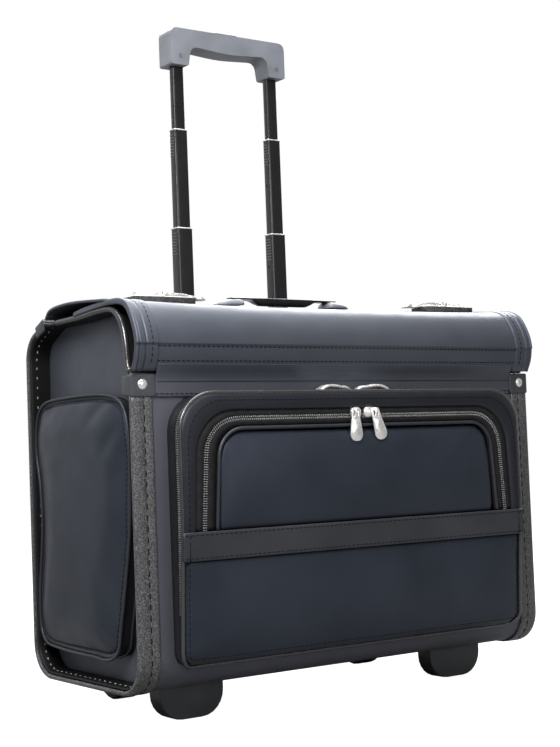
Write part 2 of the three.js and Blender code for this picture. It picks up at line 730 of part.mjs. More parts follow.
function carryHandle() {
  const [low, high] = BAND_Z;
  const end = 64;
  const under = [
    [-end, low], [-46, low], [-40, low - 1.4], [-35, GRIP_UNDERSIDE_Z + 1.2],
    [-31, GRIP_UNDERSIDE_Z],
  ];
  const outline = [
    ...under,
    ...under.map(([x, z]) => [-x, z]).reverse(),
    [end, high], [-end, high],
  ];
  return piece('carry_handle', forwards(outline, BAND_HALF_DEPTH, -BAND_HALF_DEPTH), 'grey_plastic');
}

// Assembly

const root = new THREE.Group();
root.name = 'pilot_case';
root.position.set(0, CENTRE_SHIFT_Y, GROUND_CLEARANCE);

root.add(wrapShell(), hingeStrip(), ...frontPocket());
root.add(frontFlap(), rearFlap(), carryHandle(), trolleyGrip(), releaseButton());

SIDES.forEach(([label, side], i) => {
  root.add(endPan(label, side), edgeBinding(label, side), sidePocket(label, side));
  root.add(...frontTab(label, side), rearTab(label, side));
  root.add(mainSlider(label, side, MAIN_SLIDER_X[i]));
  root.add(upperSlider(label, UPPER_SLIDER_X[i]));
  root.add(upperPull(label, UPPER_SLIDER_X[i], i === 0 ? 0.1 : 0.3));
  root.add(foot(label, side), wheelHousing(label, side), rearWheel(label, side));
  root.add(trolleySocket(label, side));
  root.add(...STAGES.map((_, index) => stageTube(index, label, side)));
  root.add(lockCase(label, side), hasp(label, side), handleMount(label, side));
  root.add(...DIAL_X.map((_, index) => dial(label, side, index)));
});

export default root;
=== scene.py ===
import math
import random

import bmesh
import bpy
import numpy as np
from mathutils import Matrix, Vector
from mathutils.bvhtree import BVHTree


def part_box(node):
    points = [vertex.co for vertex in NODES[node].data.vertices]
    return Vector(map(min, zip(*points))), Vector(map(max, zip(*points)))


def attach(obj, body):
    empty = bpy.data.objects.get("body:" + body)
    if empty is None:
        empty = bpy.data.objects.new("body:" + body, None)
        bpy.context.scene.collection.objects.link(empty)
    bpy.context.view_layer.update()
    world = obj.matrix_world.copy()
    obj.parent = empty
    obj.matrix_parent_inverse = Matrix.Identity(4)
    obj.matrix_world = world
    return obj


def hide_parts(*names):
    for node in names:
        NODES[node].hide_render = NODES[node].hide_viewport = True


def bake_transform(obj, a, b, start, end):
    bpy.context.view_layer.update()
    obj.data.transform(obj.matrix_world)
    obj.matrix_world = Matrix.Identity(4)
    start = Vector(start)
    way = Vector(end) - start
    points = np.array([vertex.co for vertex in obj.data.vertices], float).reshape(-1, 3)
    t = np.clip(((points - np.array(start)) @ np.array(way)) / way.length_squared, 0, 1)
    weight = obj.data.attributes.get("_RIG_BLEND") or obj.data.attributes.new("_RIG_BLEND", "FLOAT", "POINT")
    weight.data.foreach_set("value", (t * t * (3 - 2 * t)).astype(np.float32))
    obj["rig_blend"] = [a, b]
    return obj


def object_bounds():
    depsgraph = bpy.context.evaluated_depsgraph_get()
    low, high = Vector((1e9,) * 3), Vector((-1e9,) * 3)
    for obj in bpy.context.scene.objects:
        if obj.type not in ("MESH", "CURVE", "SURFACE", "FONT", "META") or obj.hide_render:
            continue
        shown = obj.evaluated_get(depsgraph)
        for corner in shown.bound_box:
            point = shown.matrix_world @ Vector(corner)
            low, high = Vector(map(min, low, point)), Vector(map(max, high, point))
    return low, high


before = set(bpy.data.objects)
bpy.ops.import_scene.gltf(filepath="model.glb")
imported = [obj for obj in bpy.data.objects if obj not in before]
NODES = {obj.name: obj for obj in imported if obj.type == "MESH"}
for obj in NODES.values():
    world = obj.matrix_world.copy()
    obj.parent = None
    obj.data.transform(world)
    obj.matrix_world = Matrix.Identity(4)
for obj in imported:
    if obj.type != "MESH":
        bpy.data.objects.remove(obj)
CAD_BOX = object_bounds()
random.seed(7)

# Lengths below are in millimetres, measured as in the CAD source: from the underside of the case
# body, with x across the width, y to the back and z up. The wrap's corner ties them to the frame.
WRAP_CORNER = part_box("wrap_shell")[0]
WRAP_FRONT, WRAP_REAR, WRAP_LOW = -101.0, 103.0, 2.0
WRAP_TOP = 279
BACK_CORNER_Z = 321.3
BACK_EDGE_Y, BACK_EDGE_Z = 62, 338.3
BINDING_TOP = 262
SHIFT = Vector((0, WRAP_CORNER.y - WRAP_FRONT / 1000, WRAP_CORNER.z - WRAP_LOW / 1000))
SIDES = (("left", -1), ("right", 1))


def to_frame(point):
    """A point in millimetres from the body's underside, as metres in the row frame."""
    return Vector(point) / 1000 + SHIFT


# Camera and light

CAMERA_PLACE = (-0.8376, -1.1778, 0.2347)
CAMERA_TURN = (35.10, 3.19, -2.22)  # yaw, pitch and roll in degrees
ROOM_FRONT, ROOM_LEFT = 0.19, 0.58  # the room's brightness there, against 1 elsewhere
FLOOR_HALF = 6.0
FLOOR_GAP = 0.0005


def look(location, yaw, pitch, roll):
    """A camera matrix: yaw turns from +Y towards +X, pitch looks up, roll tips to the right."""
    yaw, pitch, roll = math.radians(yaw), math.radians(pitch), math.radians(roll)
    level = math.cos(pitch)
    ahead = Vector((math.sin(yaw) * level, math.cos(yaw) * level, math.sin(pitch)))
    right = Vector((math.cos(yaw), -math.sin(yaw), 0))
    up = right.cross(ahead)
    right_rolled = right * math.cos(roll) + up * math.sin(roll)
    up_rolled = up * math.cos(roll) - right * math.sin(roll)
    turn = Matrix((right_rolled, up_rolled, -ahead)).transposed()
    return Matrix.Translation(location) @ turn.to_4x4()


def make_camera():
    data = bpy.data.cameras.new("camera")
    data.sensor_width = 36
    data.lens = 69.3
    camera = bpy.data.objects.new("camera", data)
    bpy.context.scene.collection.objects.link(camera)
    camera.matrix_world = look(CAMERA_PLACE, *CAMERA_TURN)
    bpy.context.scene.camera = camera


def area_light(name, location, target, size, energy):
    data = bpy.data.lights.new(name, "AREA")
    data.shape = "RECTANGLE"
    data.size, data.size_y = size
    data.energy = energy
    light = bpy.data.objects.new(name, data)
    bpy.context.scene.collection.objects.link(light)
    light.location = location
    light.rotation_euler = (Vector(target) - Vector(location)).to_track_quat("-Z", "Y").to_euler()


def light_the_room(tree):
    """A white room that is darker towards the front and the left, so that the front keeps depth."""
    direction = make_node(tree, "TexCoord").outputs["Generated"]
    split = make_node(tree, "SeparateXYZ", {"Vector": direction}).outputs
    seen = make_node(tree, "LightPath").outputs["Is Camera Ray"]
    grades = []
    for axis, start, end, least in (("Y", -0.45, 0.35, ROOM_FRONT), ("X", -0.8, 0.1, ROOM_LEFT)):
        inputs = {"Value": split[axis], "From Min": start, "From Max": end, "To Min": least}
        node = make_node(tree, "MapRange", inputs, interpolation_type="SMOOTHSTEP")
        grades.append(node.outputs["Result"])
    shaded = make_node(tree, "Math", dict(enumerate(grades)), operation="MULTIPLY").outputs[0]
    level = make_node(tree, "Math", {0: shaded, 1: seen}, operation="MAXIMUM").outputs[0]
    background = tree.nodes["Background"]
    tree.links.new(level, background.inputs["Strength"])
    background.inputs["Color"].default_value = (1, 1, 1, 1)


def make_studio():
    scene = bpy.context.scene
    scene.view_settings.view_transform = "Standard"
    world = bpy.data.worlds.new("studio")
    scene.world = world
    world.use_nodes = True
    light_the_room(world.node_tree)
    area_light("softbox_back", (1.2, 1.2, 1.7), (0, 0, 0.3), (2.0, 1.6), 80)
    area_light("softbox_top", (-0.2, -0.3, 1.9), (-0.1, 0, 0.3), (1.6, 1.2), 44)
    area_light("softbox_left", (-0.66, -0.62, 0.78), (-0.1, -0.1, 0.3), (0.35, 0.35), 9)
    area_light("softbox_front", (0.2, -1.6, 0.62), (-0.1, 0, 0.3), (0.7, 0.6), 3.2)
    mesh = bpy.data.meshes.new("floor")
    corners = [(FLOOR_HALF * a, FLOOR_HALF * b, 0) for a, b in ((-1, -1), (1, -1), (1, 1), (-1, 1))]
    mesh.from_pydata(corners, [], [(0, 1, 2, 3)])
    floor = bpy.data.objects.new("floor", mesh)
    scene.collection.objects.link(floor)
    floor.location.z = CAD_BOX[0].z - FLOOR_GAP
    floor.data.materials.append(floor_material())


# Materials


def make_node(tree, kind, inputs=None, **settings):
    """A shader node. An input given as a socket is linked, and any other value is set."""
    node = tree.nodes.new("ShaderNode" + kind)
    for key, value in settings.items():
        setattr(node, key, value)
    for key, value in (inputs or {}).items():
        if isinstance(value, bpy.types.NodeSocket):
            tree.links.new(value, node.inputs[key])
        else:
            node.inputs[key].default_value = value
    return node


class Finish:
    """A node material under construction. Sizes and depths are in millimetres."""

    def __init__(self, name, specular, **sockets):
        self.material = bpy.data.materials.new(name)
        self.material.use_nodes = True
        self.tree = self.material.node_tree
        self.inputs = self.tree.nodes["Principled BSDF"].inputs
        self.inputs["Specular IOR Level"].default_value = specular
        for key, value in sockets.items():
            self.inputs[key.replace("_", " ")].default_value = value
        self.position = self.add("TexCoord").outputs["Object"]

    def add(self, kind, inputs=None, **settings):
        return make_node(self.tree, kind, inputs, **settings)

    def noise(self, size, detail=2.0, roughness=0.5):
        inputs = {"Scale": 1000 / size, "Detail": detail, "Roughness": roughness}
        return self.add("TexNoise", {"Vector": self.position, **inputs}).outputs["Fac"]

    def cells(self, size):
        inputs = {"Vector": self.position, "Scale": 1000 / size}
        return self.add("TexVoronoi", inputs).outputs["Distance"]

    def ribs(self, pitch, direction):
        inputs = {"Vector": self.position, "Scale": 1000 / pitch / 6.28, "Distortion": 0.6}
        return self.add("TexWave", inputs, bands_direction=direction).outputs["Fac"]

    def colour(self, factor, dark, light, span=(0.3, 0.7), worn=None, wear=0.0):
        """Base colour from dark to light by a factor, with a worn colour on convex edges."""
        ramp = self.add("ValToRGB", {"Fac": factor})
        first, last = ramp.color_ramp.elements
        first.position, last.position = span
        first.color, last.color = (*dark, 1), (*light, 1)
        result = ramp.outputs["Color"]
        if worn:
            point = self.add("NewGeometry").outputs["Pointiness"]
            inputs = {"Value": point, "From Min": 0.52, "From Max": 0.62, "To Max": wear}
            share = self.add("MapRange", inputs).outputs["Result"]
            mix = self.add("Mix", data_type="RGBA")
            self.tree.links.new(share, mix.inputs["Factor"])
            self.tree.links.new(result, mix.inputs["A"])
            mix.inputs["B"].default_value = (*worn, 1)
            result = mix.outputs["Result"]
        self.tree.links.new(result, self.inputs["Base Color"])

    def gloss(self, factor, low, high):
        """Roughness from low to high by a factor."""
        inputs = {"Value": factor, "From Min": 0.3, "From Max": 0.7, "To Min": low, "To Max": high}
        node = self.add("MapRange", inputs)
        self.tree.links.new(node.outputs["Result"], self.inputs["Roughness"])

    def relief(self, *layers):
        """Bumps laid one over another, each as (height, depth, strength). Returns the material."""
        normal = None
        for height, depth, strength in layers:
            inputs = {"Height": height, "Distance": depth / 1000, "Strength": strength}
            if normal:
                inputs["Normal"] = normal
            normal = self.add("Bump", inputs).outputs["Normal"]
        self.tree.links.new(normal, self.inputs["Normal"])
        return self.material


def leather(name, dark, light, grain, depth, roughness, specular, tint=(1, 1, 1)):
    """Leather: pebbles of a grain size over pores, with soft changes of colour and gloss."""
    finish = Finish(name, specular, Specular_Tint=(*tint, 1))
    worn = tuple(min(1.0, 1.9 * c + 0.006) for c in light)
    finish.colour(finish.noise(70, 3.0), dark, light, worn=worn, wear=0.6)
    finish.gloss(finish.noise(22, 4.0), roughness - 0.05, roughness + 0.06)
    pores = finish.noise(grain * 0.4, 3.0, 0.6)
    soft = finish.noise(34, 1.0)
    cells = finish.cells(grain)
    return finish.relief((soft, 0.35, 0.5), (cells, depth, 0.8), (pores, depth * 0.6, 0.6))


def pebbled(name, dark, light, pebble, depth, roughness):
    """Coarse pebble grain: light rounded tops between dark gaps."""
    finish = Finish(name, 0.7)
    grains = finish.noise(pebble, 2.0, 0.6)
    finish.colour(grains, dark, light, (0.44, 0.66))
    finish.gloss(finish.noise(22, 4.0), roughness - 0.05, roughness + 0.08)
    return finish.relief((grains, depth, 0.8), (finish.cells(pebble), depth * 0.5, 0.6))


def woven(name, dark, light, pitch, roughness, specular):
    """A tight weave, as on zip tape: two crossed sets of ribs."""
    finish = Finish(name, specular)
    finish.colour(finish.noise(9, 3.0), dark, light)
    finish.gloss(finish.noise(3, 3.0), roughness - 0.08, roughness + 0.08)
    crossed = [(finish.ribs(pitch, direction), 0.12, 0.5) for direction in ("DIAGONAL", "Z")]
    return finish.relief(*crossed)


def plated(name, dark, light, roughness):
    """Plated metal with a little pitting and duller patches."""
    finish = Finish(name, 0.5, Metallic=0.7)
    finish.colour(finish.noise(14, 3.0), dark, light, (0.35, 0.7))
    finish.gloss(finish.noise(7, 4.0), roughness - 0.06, roughness + 0.12)
    return finish.relief((finish.noise(1.1, 4.0), 0.05, 0.35), (finish.noise(5, 1.0), 0.2, 0.3))


def moulded(name, dark, light, roughness, grain=0.8, depth=0.05, specular=0.4, coat=0.0):
    """Moulded plastic, rubber or lacquer with a fine spark-eroded grain."""
    finish = Finish(name, specular, Coat_Weight=coat, Coat_Roughness=0.12)
    worn = tuple(min(1.0, 1.6 * c + 0.01) for c in light)
    finish.colour(finish.noise(40, 3.0), dark, light, worn=worn, wear=0.5)
    finish.gloss(finish.noise(12, 4.0), roughness - 0.04, roughness + 0.06)
    return finish.relief((finish.noise(grain, 3.0, 0.6), depth, 0.5))


def floor_material():
    """Pale paper that looks white to the camera and gives little light back."""
    finish = Finish("floor_paper", 0.0, Roughness=0.9, Emission_Color=(1, 1, 1, 1))
    finish.colour(finish.noise(600, 2.0), (0.19, 0.19, 0.19), (0.21, 0.21, 0.21))
    seen = finish.add("LightPath").outputs["Is Camera Ray"]
    finish.tree.links.new(seen, finish.inputs["Emission Strength"])
    return finish.material


make_camera()
make_studio()

NAVY = (0.74, 0.83, 1.0)
LEATHER = leather(
    "leather", (0.013, 0.016, 0.023), (0.020, 0.024, 0.034), 1.2, 0.05, 0.42, 0.4, NAVY
)
# End plate: the same leather with a base about twice as light, making up for the flap's shadow on it:
# painted light.
PLATE_PAINTED_LIGHT = leather(
    "plate_leather_painted_light", (0.055, 0.061, 0.074), (0.072, 0.079, 0.095), 1.2, 0.05, 0.45, 0.4, NAVY
)
# Body leather: the pockets' navy leather with a lighter base, so that the wrap and the hinge band carry
# light in their colour: painted light.
BODY_PAINTED_LIGHT = leather(
    "body_leather_painted_light", (0.046, 0.046, 0.057), (0.062, 0.062, 0.075), 1.2, 0.05, 0.45, 0.5, NAVY
)
# Flap leather: the same navy leather with a lighter base, so that the flaps carry the light falling on them
# in their colour: painted light.
FLAP_LEATHER_PAINTED_LIGHT = leather(
    "flap_leather_painted_light", (0.031, 0.033, 0.042), (0.042, 0.045, 0.055), 1.2, 0.05, 0.46, 0.8, NAVY
)
BORDER = leather(
    "border_leather", (0.009, 0.009, 0.011), (0.014, 0.014, 0.017), 1.2, 0.06, 0.42, 0.4, NAVY
)
# End flange: the end panel's leather made near black, because its inner side lies in shade: painted shade.
FLANGE_PAINTED_SHADE = leather(
    "flange_leather_painted_shade", (0.0035, 0.0035, 0.004), (0.006, 0.006, 0.007), 1.2, 0.06, 0.5, 0.2
)
GRAINED = pebbled("grained_leather", (0.024, 0.024, 0.026), (0.15, 0.15, 0.155), 1.45, 0.4, 0.36)
PAD = pebbled("pad_leather", (0.02, 0.02, 0.022), (0.07, 0.07, 0.075), 2.0, 0.3, 0.4)
TAB = leather("tab_leather", (0.030, 0.030, 0.034), (0.05, 0.05, 0.055), 1.2, 0.12, 0.42, 0.6, NAVY)
BAND = leather(
    "band_leather", (0.022, 0.022, 0.025), (0.034, 0.034, 0.037), 1.2, 0.14, 0.42, 0.5, NAVY
)
TAPE = woven("zip_tape", (0.007, 0.007, 0.008), (0.014, 0.014, 0.015), 1.1, 0.8, 0.2)
# Zip coil: black nylon given a light grey colour, so that its teeth show as rows of bright dots: painted
# highlight.
COIL_PAINTED_GLINT = moulded("zip_coil_painted_glint", (0.07, 0.07, 0.073), (0.16, 0.16, 0.165), 0.26, specular=0.8)
PIPING = leather("piping", (0.014, 0.014, 0.015), (0.024, 0.024, 0.026), 0.9, 0.05, 0.24, 1.0)
SOFT_PIPING = leather(
    "soft_piping", (0.012, 0.012, 0.014), (0.02, 0.02, 0.023), 0.9, 0.05, 0.36, 0.5, NAVY
)
DARK_THREAD = woven("dark_thread", (0.003, 0.003, 0.003), (0.006, 0.006, 0.006), 0.7, 0.7, 0.2)
# Flange stitches: dark thread made pale, so that the stitches show as white glints on the shaded flange:
# painted highlight.
THREAD_PAINTED_GLINT = woven("thread_painted_glint", (0.22, 0.22, 0.23), (0.4, 0.4, 0.41), 0.7, 0.6, 0.4)
NICKEL = plated("nickel", (0.82, 0.81, 0.79), (0.93, 0.92, 0.90), 0.26)
GLOSS = moulded(
    "gloss_black", (0.006, 0.006, 0.007), (0.010, 0.010, 0.011), 0.16, specular=0.5, coat=0.15
)
# Grip and handle domes: a mid grey matched to the highlights on plastic that is darker, so the colour holds
# painted sheen.
GREY_PAINTED_SHEEN = moulded("grey_plastic", (0.14, 0.149, 0.17), (0.215, 0.226, 0.255), 0.42, specular=0.55)
DIMPLE = moulded("dimple_plastic", (0.10, 0.105, 0.12), (0.15, 0.155, 0.17), 0.4, specular=0.5)
FOOT = moulded("foot_plastic", (0.036, 0.038, 0.042), (0.052, 0.055, 0.06), 0.45, specular=0.45)
RUBBER = moulded("wheel_rubber", (0.012, 0.012, 0.012), (0.02, 0.02, 0.02), 0.7, 1.4, 0.1, 0.3)
COLLAR = plated("collar_metal", (0.72, 0.72, 0.72), (0.88, 0.88, 0.88), 0.3)


# Mesh building

STITCH_PITCH = 5.0
VOXEL_MM, PRESSURE, CLOTH_FRAMES = 5.0, 3.0, 20


def outward_faces(mesh, corners=None):
    """Turns all faces outwards, and splits those with more than a number of corners."""
    form = bmesh.new()
    form.from_mesh(mesh)
    if corners:
        bmesh.ops.triangulate(form, faces=[f for f in form.faces if len(f.verts) > corners])
    bmesh.ops.recalc_face_normals(form, faces=form.faces)
    form.to_mesh(mesh)
    form.free()


def add_piece(name, form, material, body="case", replaces=()):
    """A smooth mesh object from a form (points in millimetres, faces), riding on a body."""
    points, faces = form
    mesh = bpy.data.meshes.new(name)
    mesh.from_pydata([to_frame(p) for p in points], [], faces)
    outward_faces(mesh)
    mesh.polygons.foreach_set("use_smooth", [True] * len(mesh.polygons))
    return link_piece(name, mesh, material, body, replaces)


def link_piece(name, mesh, material, body="case", replaces=()):
    """An object from a mesh, with its material and body; the CAD nodes it stands for are hidden."""
    obj = bpy.data.objects.new(name, mesh)
    bpy.context.scene.collection.objects.link(obj)
    mesh.materials.clear()
    mesh.materials.append(material)
    if body is not None:
        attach(obj, body)
    if replaces:
        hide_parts(*replaces)
    return obj


def grid(rings):
    """Faces between neighbouring rings of equal length, each ring closed."""
    count = len(rings[0])
    points = [p for ring in rings for p in ring]
    faces = []
    for i in range(len(rings) - 1):
        for j in range(count):
            a, b = i * count + j, i * count + (j + 1) % count
            faces.append((a, b, b + count, a + count))
    return points, faces


def loft(rings):
    """A form through rings of points, closed at both ends."""
    points, faces = grid(rings)
    count = len(rings[0])
    faces.append(tuple(range(count)))
    faces.append(tuple(range(len(points) - count, len(points))))
    return points, faces


def ring_loft(rings):
    """A closed ring-shaped form: the last ring joins the first."""
    points, faces = grid([*rings, rings[0]])
    count = len(points) - len(rings[0])
    return points[:count], [tuple(i % count for i in face) for face in faces]


def merge(parts):
    """Several (points, faces) sets as one."""
    points, faces = [], []
    for more_points, more_faces in parts:
        shift = len(points)
        points += list(more_points)
        faces += [tuple(i + shift for i in face) for face in more_faces]
    return points, faces


def rounded(corners, steps=6):
    """Corners (a, b, radius) as a closed outline with rounded corners."""
    outline = []
    for i, (a, b, radius) in enumerate(corners):
        here = Vector((a, b))
        if not radius:
            outline.append(here)
            continue
        u = (Vector(corners[i - 1][:2]) - here).normalized()
        v = (Vector(corners[(i + 1) % len(corners)][:2]) - here).normalized()
        half = u.angle(v) / 2
        start = here + u * radius / math.tan(half)
        centre = here + (u + v).normalized() * radius / math.sin(half)
        turn = (math.pi - 2 * half) * (1 if v.x * u.y - v.y * u.x > 0 else -1)
        first = math.atan2(start.y - centre.y, start.x - centre.x)
        for k in range(steps + 1):
            angle = first + turn * k / steps
            outline.append(centre + radius * Vector((math.cos(angle), math.sin(angle))))
    return outline


def box_outline(a0, a1, b0, b1, radius, steps=3):
    """A rectangle with rounded corners."""
    corners = [(a0, b0, radius), (a1, b0, radius), (a1, b1, radius), (a0, b1, radius)]
    return rounded(corners, steps)


def stack(outline, layers, place):
    """Rings of an outline for layers (inset, height). place(a, b, height) gives each point."""
    rings = []
    for inset, height in layers:
        rings.append([place(p.x, p.y, height) for p in offset(outline, inset, True)])
    return rings


def turns(count):
    """Angles that divide a full turn."""
    return [2 * math.pi * k / count for k in range(count)]


def turned(profile, place, sides=14):
    """A turned form from (radius, height) pairs. place(a, b, height) gives each point."""
    rings = []
    for r, height in profile:
        rings.append([place(r * math.cos(t), r * math.sin(t), height) for t in turns(sides)])
    return loft(rings)


def bulged(value, power):
    """A sine or cosine raised to a power with its sign kept, for squared-off circles."""
    return math.copysign(abs(value) ** power, value)


def smooth_line(points, per_span=6, closed=False):
    """A Catmull-Rom curve through points, of any dimension."""
    points = [Vector(p) for p in points]
    count = len(points)
    line = []
    for i in range(count if closed else count - 1):
        if closed:
            p0, p1, p2, p3 = (points[(i + k) % count] for k in (-1, 0, 1, 2))
        else:
            p0, p1, p2, p3 = (points[min(max(i + k, 0), count - 1)] for k in (-1, 0, 1, 2))
        for k in range(per_span):
            t = k / per_span
            square = (2 * p0 - 5 * p1 + 4 * p2 - p3) * t**2
            cube = (3 * p1 - p0 - 3 * p2 + p3) * t**3
            line.append((2 * p1 + (p2 - p0) * t + square + cube) / 2)
    if not closed:
        line.append(points[-1])
    return line


def even(line, pitch, closed=False):
    """The same line with points evenly spaced, about pitch apart."""
    line = [Vector(p) for p in line]
    if closed:
        line = line + [line[0]]
    lengths = [(b - a).length for a, b in zip(line, line[1:])]
    total = sum(lengths)
    count = max(2, round(total / pitch))
    result, i, gone = [], 0, 0.0
    for k in range(count if closed else count + 1):
        want = min(total * k / count, total - 1e-6)
        while i < len(lengths) - 1 and gone + lengths[i] < want:
            gone += lengths[i]
            i += 1
        share = (want - gone) / lengths[i] if lengths[i] else 0
        result.append(line[i].lerp(line[i + 1], min(share, 1.0)))
    return result


def tangents(line, closed=False):
    last = len(line) - 1
    result = []
    for i in range(last + 1):
        before = line[i - 1] if closed or i else line[0]
        after = line[(i + 1) % (last + 1)] if closed or i < last else line[-1]
        result.append((after - before).normalized())
    return result


def offset(line, distance, closed=False):
    """A flat line shifted to the left of its direction by distance."""
    result = []
    for point, along in zip(line, tangents(line, closed)):
        result.append(point + Vector((-along.y, along.x)) * distance)
    return result


def tube(line, radius, closed=False, up=(0, 0, 1), sides=8):
    """A round cord along a line of points."""
    line = [Vector(p) for p in line]
    rings = []
    for point, along in zip(line, tangents(line, closed)):
        side = along.cross(Vector(up)).normalized()
        rise = side.cross(along)
        ring = [math.cos(a) * side + math.sin(a) * rise for a in turns(sides)]
        rings.append([point + radius * spoke for spoke in ring])
    return ring_loft(rings) if closed else loft(rings)


def capsule(centre, along, normal, length, width, height):
    """One stitch or zip tooth: a rounded bar, long along one direction and low along the normal."""
    along, normal = along.normalized(), normal.normalized()
    side = along.cross(normal)
    rings = []
    for share, size in ((-0.5, 0.35), (-0.36, 1.0), (0.36, 1.0), (0.5, 0.35)):
        middle = centre + along * length * share
        across, rise = side * (width / 2 * size), normal * (height / 2 * size)
        rings.append([middle + across * math.cos(a) + rise * math.sin(a) for a in turns(6)])
    return loft(rings)


def sew(spots, ups, length=3.3, width=0.85, height=0.8, closed=False):
    """Stitches along a row of spots, one at each, as a list of forms."""
    parts = []
    for spot, along, up in zip(spots, tangents(spots, closed), ups):
        parts.append(capsule(spot, along, up, length, width, height))
    return parts


def stitches(line, length=3.3, width=0.85):
    """A row of stitches along a line on the front of the case, as one form."""
    spots = even(line, STITCH_PITCH)
    return merge(sew(spots, [Vector((0, -1, 0))] * len(spots), length, width, width * 0.9))


def coil(line, across, normal, pitch, length, width, height):
    """A row of zip teeth that lie across a line."""
    spots = even(line, pitch)
    return merge([capsule(p, across(p), normal(p), length, width, height) for p in spots])


def open_run(line, keep):
    """The points of a closed line for which keep(point) holds, starting after their gap."""
    run = [p for p in line if keep(p)]
    gap = next(i for i, p in enumerate(run) if (run[i - 1] - p).length > 50)
    return run[gap:] + run[:gap]


def fill_rings(outline, count):
    """Rings that shrink from an outline to its middle line, as factors of the way."""
    low = Vector((min(p.x for p in outline), min(p.y for p in outline)))
    high = Vector((max(p.x for p in outline), max(p.y for p in outline)))
    size, middle = high - low, (high + low) / 2
    reach = (Vector((size.x - size.y, 0)) if size.x > size.y else Vector((0, size.y - size.x))) / 2
    core = []
    for p in outline:
        x = min(max(p.x, middle.x - reach.x), middle.x + reach.x)
        y = min(max(p.y, middle.y - reach.y), middle.y + reach.y)
        core.append(Vector((x, y)))
    rings = []
    for i in range(1, count + 1):
        share = 1 - (i / count) ** 0.9 * 0.96
        rings.append([c + (p - c) * share for p, c in zip(outline, core)])
    return rings


def pad(outline, place, low, high, edge=1.0, crown=0.0, rings=6):
    """A closed pad on a flat outline: straight sides, a rolled edge and a crowned top.

    place(a, b, height) gives the point in space."""
    outline = [Vector(p) for p in outline]
    area = sum(p.x * q.y - q.x * p.y for p, q in zip(outline, outline[1:] + outline[:1]))
    inward = 1 if area > 0 else -1
    layers = [(outline, low), (outline, high - edge)]
    for k in range(1, 5):
        angle = math.pi / 2 * k / 4
        inset = offset(outline, inward * edge * (1 - math.cos(angle)), True)
        layers.append((inset, high - edge + edge * math.sin(angle)))
    rim = layers[-1][0]
    for i, ring in enumerate(fill_rings(rim, rings)):
        share = (i + 1) / rings
        layers.append((ring, high + crown * math.sin(math.pi / 2 * share)))
    return loft([[Vector(place(p.x, p.y, height)) for p in ring] for ring, height in layers])


def forwards(a, b, height):
    """Places a pad whose outline is in x and z and whose height is towards the front."""
    return (a, -height, b)


def dress(node, material, bevel, segments=2):
    """A CAD node that stays: welded, its edges bevelled, with a node material."""
    obj = NODES[node]
    mesh = obj.data
    for name in {"custom_normal", "sharp_edge", "sharp_face"} & set(mesh.attributes.keys()):
        mesh.attributes.remove(mesh.attributes[name])
    mesh.polygons.foreach_set("use_smooth", [True] * len(mesh.polygons))
    mesh.materials.clear()
    mesh.materials.append(material)
    weld = obj.modifiers.new("weld", "WELD")
    weld.merge_threshold = 1e-5
    flat = obj.modifiers.new("flat", "DECIMATE")
    flat.decimate_type = "DISSOLVE"
    flat.angle_limit = math.radians(1)
    edge = obj.modifiers.new("edge", "BEVEL")
    edge.width = bevel / 1000
    edge.segments = segments
    edge.limit_method = "ANGLE"
    edge.angle_limit = math.radians(32)
    obj.modifiers.new("normals", "WEIGHTED_NORMAL")


def puff(name, form, held, cap_mm):
    """Inflates a closed form as cloth and returns its mesh.

    held(point in mm) pins a vertex. No vertex moves further than cap_mm."""
    mesh = bpy.data.meshes.new(name)
    mesh.from_pydata([to_frame(p) for p in form[0]], [], form[1])
    outward_faces(mesh, corners=4)
    obj = bpy.data.objects.new(name + "_cloth", mesh)
    bpy.context.scene.collection.objects.link(obj)
    bpy.context.view_layer.objects.active = obj
    remesh = obj.modifiers.new("remesh", "REMESH")
    remesh.mode = "VOXEL"
    remesh.voxel_size = VOXEL_MM / 1000
    graph = bpy.context.evaluated_depsgraph_get()
    fine = bpy.data.meshes.new_from_object(obj.evaluated_get(graph))
    obj.modifiers.clear()
    obj.data = fine
    rest = np.array([v.co for v in fine.vertices])
    pins = obj.vertex_groups.new(name="pins")
    for i, co in enumerate(rest):
        if held((Vector(co) - SHIFT) * 1000):
            pins.add([i], 1.0, "REPLACE")
    cloth = obj.modifiers.new("cloth", "CLOTH")
    cloth.settings.vertex_group_mass = "pins"
    cloth.settings.use_pressure = True
    cloth.settings.uniform_pressure_force = PRESSURE
    cloth.settings.effector_weights.gravity = 0
    cloth.settings.quality = 5
    cloth.collision_settings.use_collision = False
    for number in range(1, CLOTH_FRAMES + 1):
        bpy.context.scene.frame_set(number)
    graph = bpy.context.evaluated_depsgraph_get()
    solved = obj.evaluated_get(graph).to_mesh()
    moved = np.array([v.co for v in solved.vertices])
    obj.evaluated_get(graph).to_mesh_clear()
    obj.modifiers.clear()
    bpy.context.scene.frame_set(1)
    step = moved - rest
    length = np.linalg.norm(step, axis=1, keepdims=True)
    rest = rest + step * np.minimum(1.0, cap_mm / 1000 / np.maximum(length, 1e-9))
    fine.vertices.foreach_set("co", rest.astype(np.float32).ravel())
    smooth = obj.modifiers.new("smooth", "SMOOTH")
    smooth.factor = 0.5
    smooth.iterations = 3
    finer = obj.modifiers.new("finer", "SUBSURF")
    finer.levels = finer.render_levels = 1
    graph = bpy.context.evaluated_depsgraph_get()
    result = bpy.data.meshes.new_from_object(obj.evaluated_get(graph))
    bpy.data.objects.remove(obj)
    result.polygons.foreach_set("use_smooth", [True] * len(result.polygons))
    return result


class Surface:
    """Finds points on a finished mesh, in millimetres."""

    def __init__(self, mesh):
        points = [(v.co - SHIFT) * 1000 for v in mesh.vertices]
        self.tree = BVHTree.FromPolygons(points, [tuple(p.vertices) for p in mesh.polygons])

    def drop(self, start, direction):
        hit, normal, _, _ = self.tree.ray_cast(Vector(start), Vector(direction).normalized())
        if hit is None:
            hit, normal, _, _ = self.tree.find_nearest(Vector(start))
        return hit, normal


